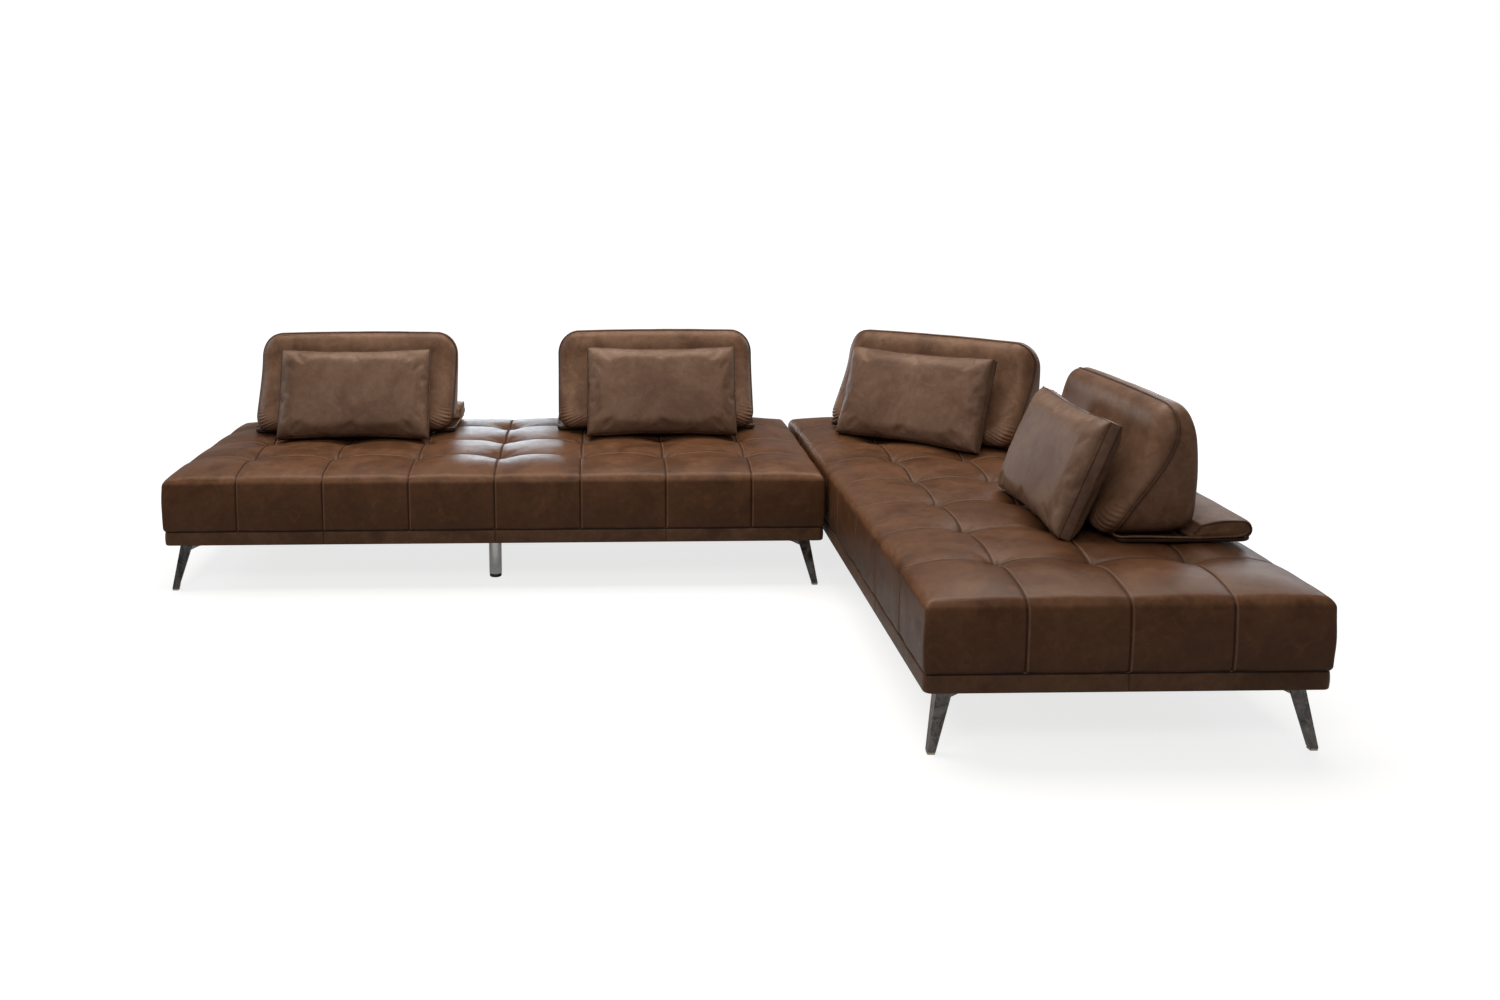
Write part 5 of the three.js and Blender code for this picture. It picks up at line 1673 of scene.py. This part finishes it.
# %% Run it once, with a limit on every move
pillow_patches, pillow_inside = stuffed_pillow()
skin = patches_piece("pillow_skin", pillow_patches)
rest = np.array([vertex.co for vertex in skin.data.vertices])
moved = swollen(skin) - rest
far = np.linalg.norm(moved, axis=1, keepdims=True)
moved *= np.minimum(1, furthest_move / np.maximum(far, tiny))
print("cloth moved up to:", far.max().round(4), "on average:", far.mean().round(4))
for patch in pillow_patches:
    spots = patch.reshape(-1, 3)
    nearest = np.array([np.abs(rest - spot).sum(axis=1).argmin() for spot in spots])
    patch += moved[nearest].reshape(patch.shape)
bpy.data.objects.remove(skin)

# %% [markdown]
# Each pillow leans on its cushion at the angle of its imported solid. The fourth stands a
# little further forward and slightly turned, as in the photograph.

# %% Lean the pillows in place
pillow_lean = math.radians(22)
loose_turn = {4: math.radians(-1.5)}
loose_shift = {4: 0.016}
pillow_clearance = 0.0018
panel_crown_low, pillow_roll_sheen = 0.3, 0.55
pillow_sheen_place, pillow_sheen_reach = 0.022, 0.014
pillow_seam_shade, pillow_seam_shade_reach, pillow_seam_shade_power = 0.75, 0.004, 1.5
gusset_crown = 0.4
pillow_seam_radius = 0.0020


def pillow_axes(backrest):
    """Directions of a leaning pillow: along, through its thickness and up its height."""
    turn = loose_turn.get(backrest.number, 0.0)
    along = math.cos(turn) * backrest.along + math.sin(turn) * backrest.back
    back = np.cross(up, along)
    through = math.cos(pillow_lean) * back - math.sin(pillow_lean) * up
    upward = math.sin(pillow_lean) * back + math.cos(pillow_lean) * up
    return np.stack([along, through, upward])


def pillow_centre(number, axes):
    """The middle of a pillow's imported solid, measured along the pillow's own directions."""
    corners = np.array([vertex.co for vertex in nodes[f"back_{number}_pillow"].data.vertices])
    own = corners @ axes.T
    return (own.max(axis=0) + own.min(axis=0)) / 2 @ axes


# %% Make the pillows
# Painted highlight in a band along the panels' roll, and painted shade beside the seams.
rolled = np.exp(-(((pillow_inside - pillow_sheen_place) / pillow_sheen_reach) ** 2))
on_panel = (panel_crown_low + pillow_roll_sheen * rolled).ravel()
shade_by_seam = pillow_seam_shade * np.exp(-((pillow_inside / pillow_seam_shade_reach) ** pillow_seam_shade_power)).ravel()
on_gusset = np.ones(pillow_patches[2].shape[:2]).ravel()
pillow_marks = {
    "crown": np.concatenate([on_panel, on_panel, gusset_crown * on_gusset]),
    "crease": np.concatenate([shade_by_seam, shade_by_seam, 0 * on_gusset]),
}
for backrest in backrests:
    number = backrest.number
    axes = pillow_axes(backrest)
    centre = pillow_centre(number, axes) - loose_shift.get(number, 0.0) * backrest.back
    centre = centre + pillow_clearance * up
    mirror = -1 if number % 2 else 1
    shapes = [centre + (patch * [mirror, 1, 1]) @ axes for patch in pillow_patches]
    pillow = patches_piece(f"pillow_{number}", shapes, pillow_marks)
    settle(pillow, f"pillow_{number}", "pillow_leather", pillow_leather, f"back_{number}_pillow")
    rim = rim_order(*shapes[0].shape[:2])
    for shape, word in zip(shapes, ("front", "rear")):
        path = shape.reshape(-1, 3)[rim]
        edge = piping(f"pillow_seam_{word}_{number}", path, path - centre, radius=pillow_seam_radius)
        settle(edge, f"pillow_{number}", "pillow_leather", piping_leather)
print("pillow faces:", len(pillow.data.polygons))

# %% [markdown]
# ## Floor, camera and light
# The photograph shows the sofa cut out on white. The camera was solved from it: from the
# edges, the grid of tufts and the feet of the legs. So its numbers are the lens in pixels,
# the pixel that it faces, its place and its three directions.

# %% The camera
photo_width, photo_height = 1500, 1000
focal_px = 1260.365
facing_px = (623.340, 322.299)
camera_place = (-0.13099, -4.15573, 1.45427)
camera_right = (0.999880, -0.014946, -0.004099)
camera_up = (0.005830, 0.117692, 0.993033)
camera_forward = (0.014359, 0.992938, -0.117765)
sensor = 36.0

camera_data = bpy.data.cameras.new("photo camera")
camera_data.sensor_width = sensor
camera_data.lens = focal_px / photo_width * sensor
camera_data.shift_x = (photo_width / 2 - facing_px[0]) / photo_width
camera_data.shift_y = (facing_px[1] - photo_height / 2) / photo_width
camera_data.clip_end = 100
camera = bpy.data.objects.new("photo camera", camera_data)
turn = Matrix((camera_right, camera_up, tuple(-v for v in camera_forward))).transposed()
camera.matrix_world = Matrix.Translation(camera_place) @ turn.to_4x4()
bpy.context.scene.collection.objects.link(camera)
bpy.context.scene.camera = camera
print("lens in millimetres:", round(camera_data.lens, 2))

# %% [markdown]
# The floor is a wide pale plane that keeps the sofa's shadow. Its white comes from a glow
# that only camera and see-through rays meet in full, so it puts no light on the sofa. Mirror
# rays meet a dim share of it, because the full white would veil the dark leather. Near the
# sofa the glow is a little weaker, so that the shadow shows, and it rises to white further
# out. The world is white in the same way, with a low even light of its own.

# %% The floor and the white around it
floor_half = 30.0
floor_grey, floor_roughness = 0.30, 0.9
white = (1, 1, 1, 1)
glow_near, glow_far = 0.76, 1.0
glow_from, glow_to = 2.6, 6.0
mirrored = 0.20
ambient = 0.22


def seen_directly(tree):
    """1 for camera and see-through rays, a share of it for mirror rays, and 0 for the rays
    that carry light from one surface to another."""
    path = add(tree, "ShaderNodeLightPath").outputs
    seen = maths(tree, "MAXIMUM", path["Is Camera Ray"], path["Is Transmission Ray"])
    return maths(tree, "MAXIMUM", seen, maths(tree, "MULTIPLY", path["Is Glossy Ray"], mirrored))


corners = floor_half * np.array([[-1, -1, 0], [1, -1, 0], [1, 1, 0], [-1, 1, 0]], float)
floor = new_piece("floor", corners, [np.array([[0, 1, 2, 3]])])
pale, tree, shader = new_material("pale floor")
shader.inputs["Base Color"].default_value = (floor_grey, floor_grey, floor_grey, 1)
shader.inputs["Roughness"].default_value = floor_roughness
shader.inputs["Emission Color"].default_value = white
spot = add(tree, "ShaderNodeTexCoord").outputs["Object"]
far = add(tree, "ShaderNodeVectorMath", {"operation": "LENGTH"}, i0=spot).outputs["Value"]
glow = spread(tree, far, glow_from, glow_to, glow_near, glow_far)
glow = maths(tree, "MULTIPLY", seen_directly(tree), glow)
tree.links.new(glow, shader.inputs["Emission Strength"])
floor.data.materials.append(pale)

world = bpy.data.worlds.new("studio")
bpy.context.scene.world = world
world.use_nodes = True
tree = world.node_tree
background = tree.nodes["Background"]
strength = maths(tree, "MAXIMUM", seen_directly(tree), ambient)
tree.links.new(strength, background.inputs["Strength"])
background.inputs["Color"].default_value = white
print("floor from side to side:", 2 * floor_half)

# %% [markdown]
# In the photograph the tops of the seats are light and the front faces dark, so most light
# comes from above: one wide warm lamp. A second, high in front, fills the faces. A small low
# lamp behind makes the bright patch on the long seat, and two cool ones stand for windows to
# the right and to the left, which give the rounded edges and the side module their sheen.


# %% The lamps
def soft_lamp(name, place, target, size, power, colour):
    """A rectangular area lamp at a place that faces a target."""
    lamp = bpy.data.lights.new(name, "AREA")
    lamp.shape = "RECTANGLE"
    lamp.size, lamp.size_y = size
    lamp.energy = power
    lamp.color = colour
    piece = bpy.data.objects.new(name, lamp)
    piece.rotation_mode = "QUATERNION"
    piece.rotation_quaternion = (Vector(place) - Vector(target)).to_track_quat("Z", "Y")
    piece.location = place
    bpy.context.scene.collection.objects.link(piece)
    return piece


soft_lamp("ceiling", (0.0, 0.7, 3.6), (0.0, 0.2, 0.4), (5.5, 2.6), 184, (1.0, 0.96, 0.90))
soft_lamp("front fill", (-0.8, -4.2, 3.9), (0.0, 0.0, 0.5), (4.0, 1.4), 77, (1.0, 0.97, 0.94))
soft_lamp("rear window", (-0.9, 4.0, 0.95), (-0.56, 0.45, 0.75), (0.85, 0.85), 14,
          (0.74, 0.89, 1.0))
soft_lamp("side window", (4.0, 3.2, 2.0), (1.2, -0.6, 0.5), (2.0, 1.4), 28, (0.84, 0.93, 1.0))
soft_lamp("left window", (-4.4, 1.4, 2.2), (0.9, -0.4, 0.5), (1.8, 1.6), 26, (0.86, 0.94, 1.0))
print("lamps:", [lamp.name for lamp in bpy.data.lights])

bpy.context.scene.view_settings.view_transform = "Standard"
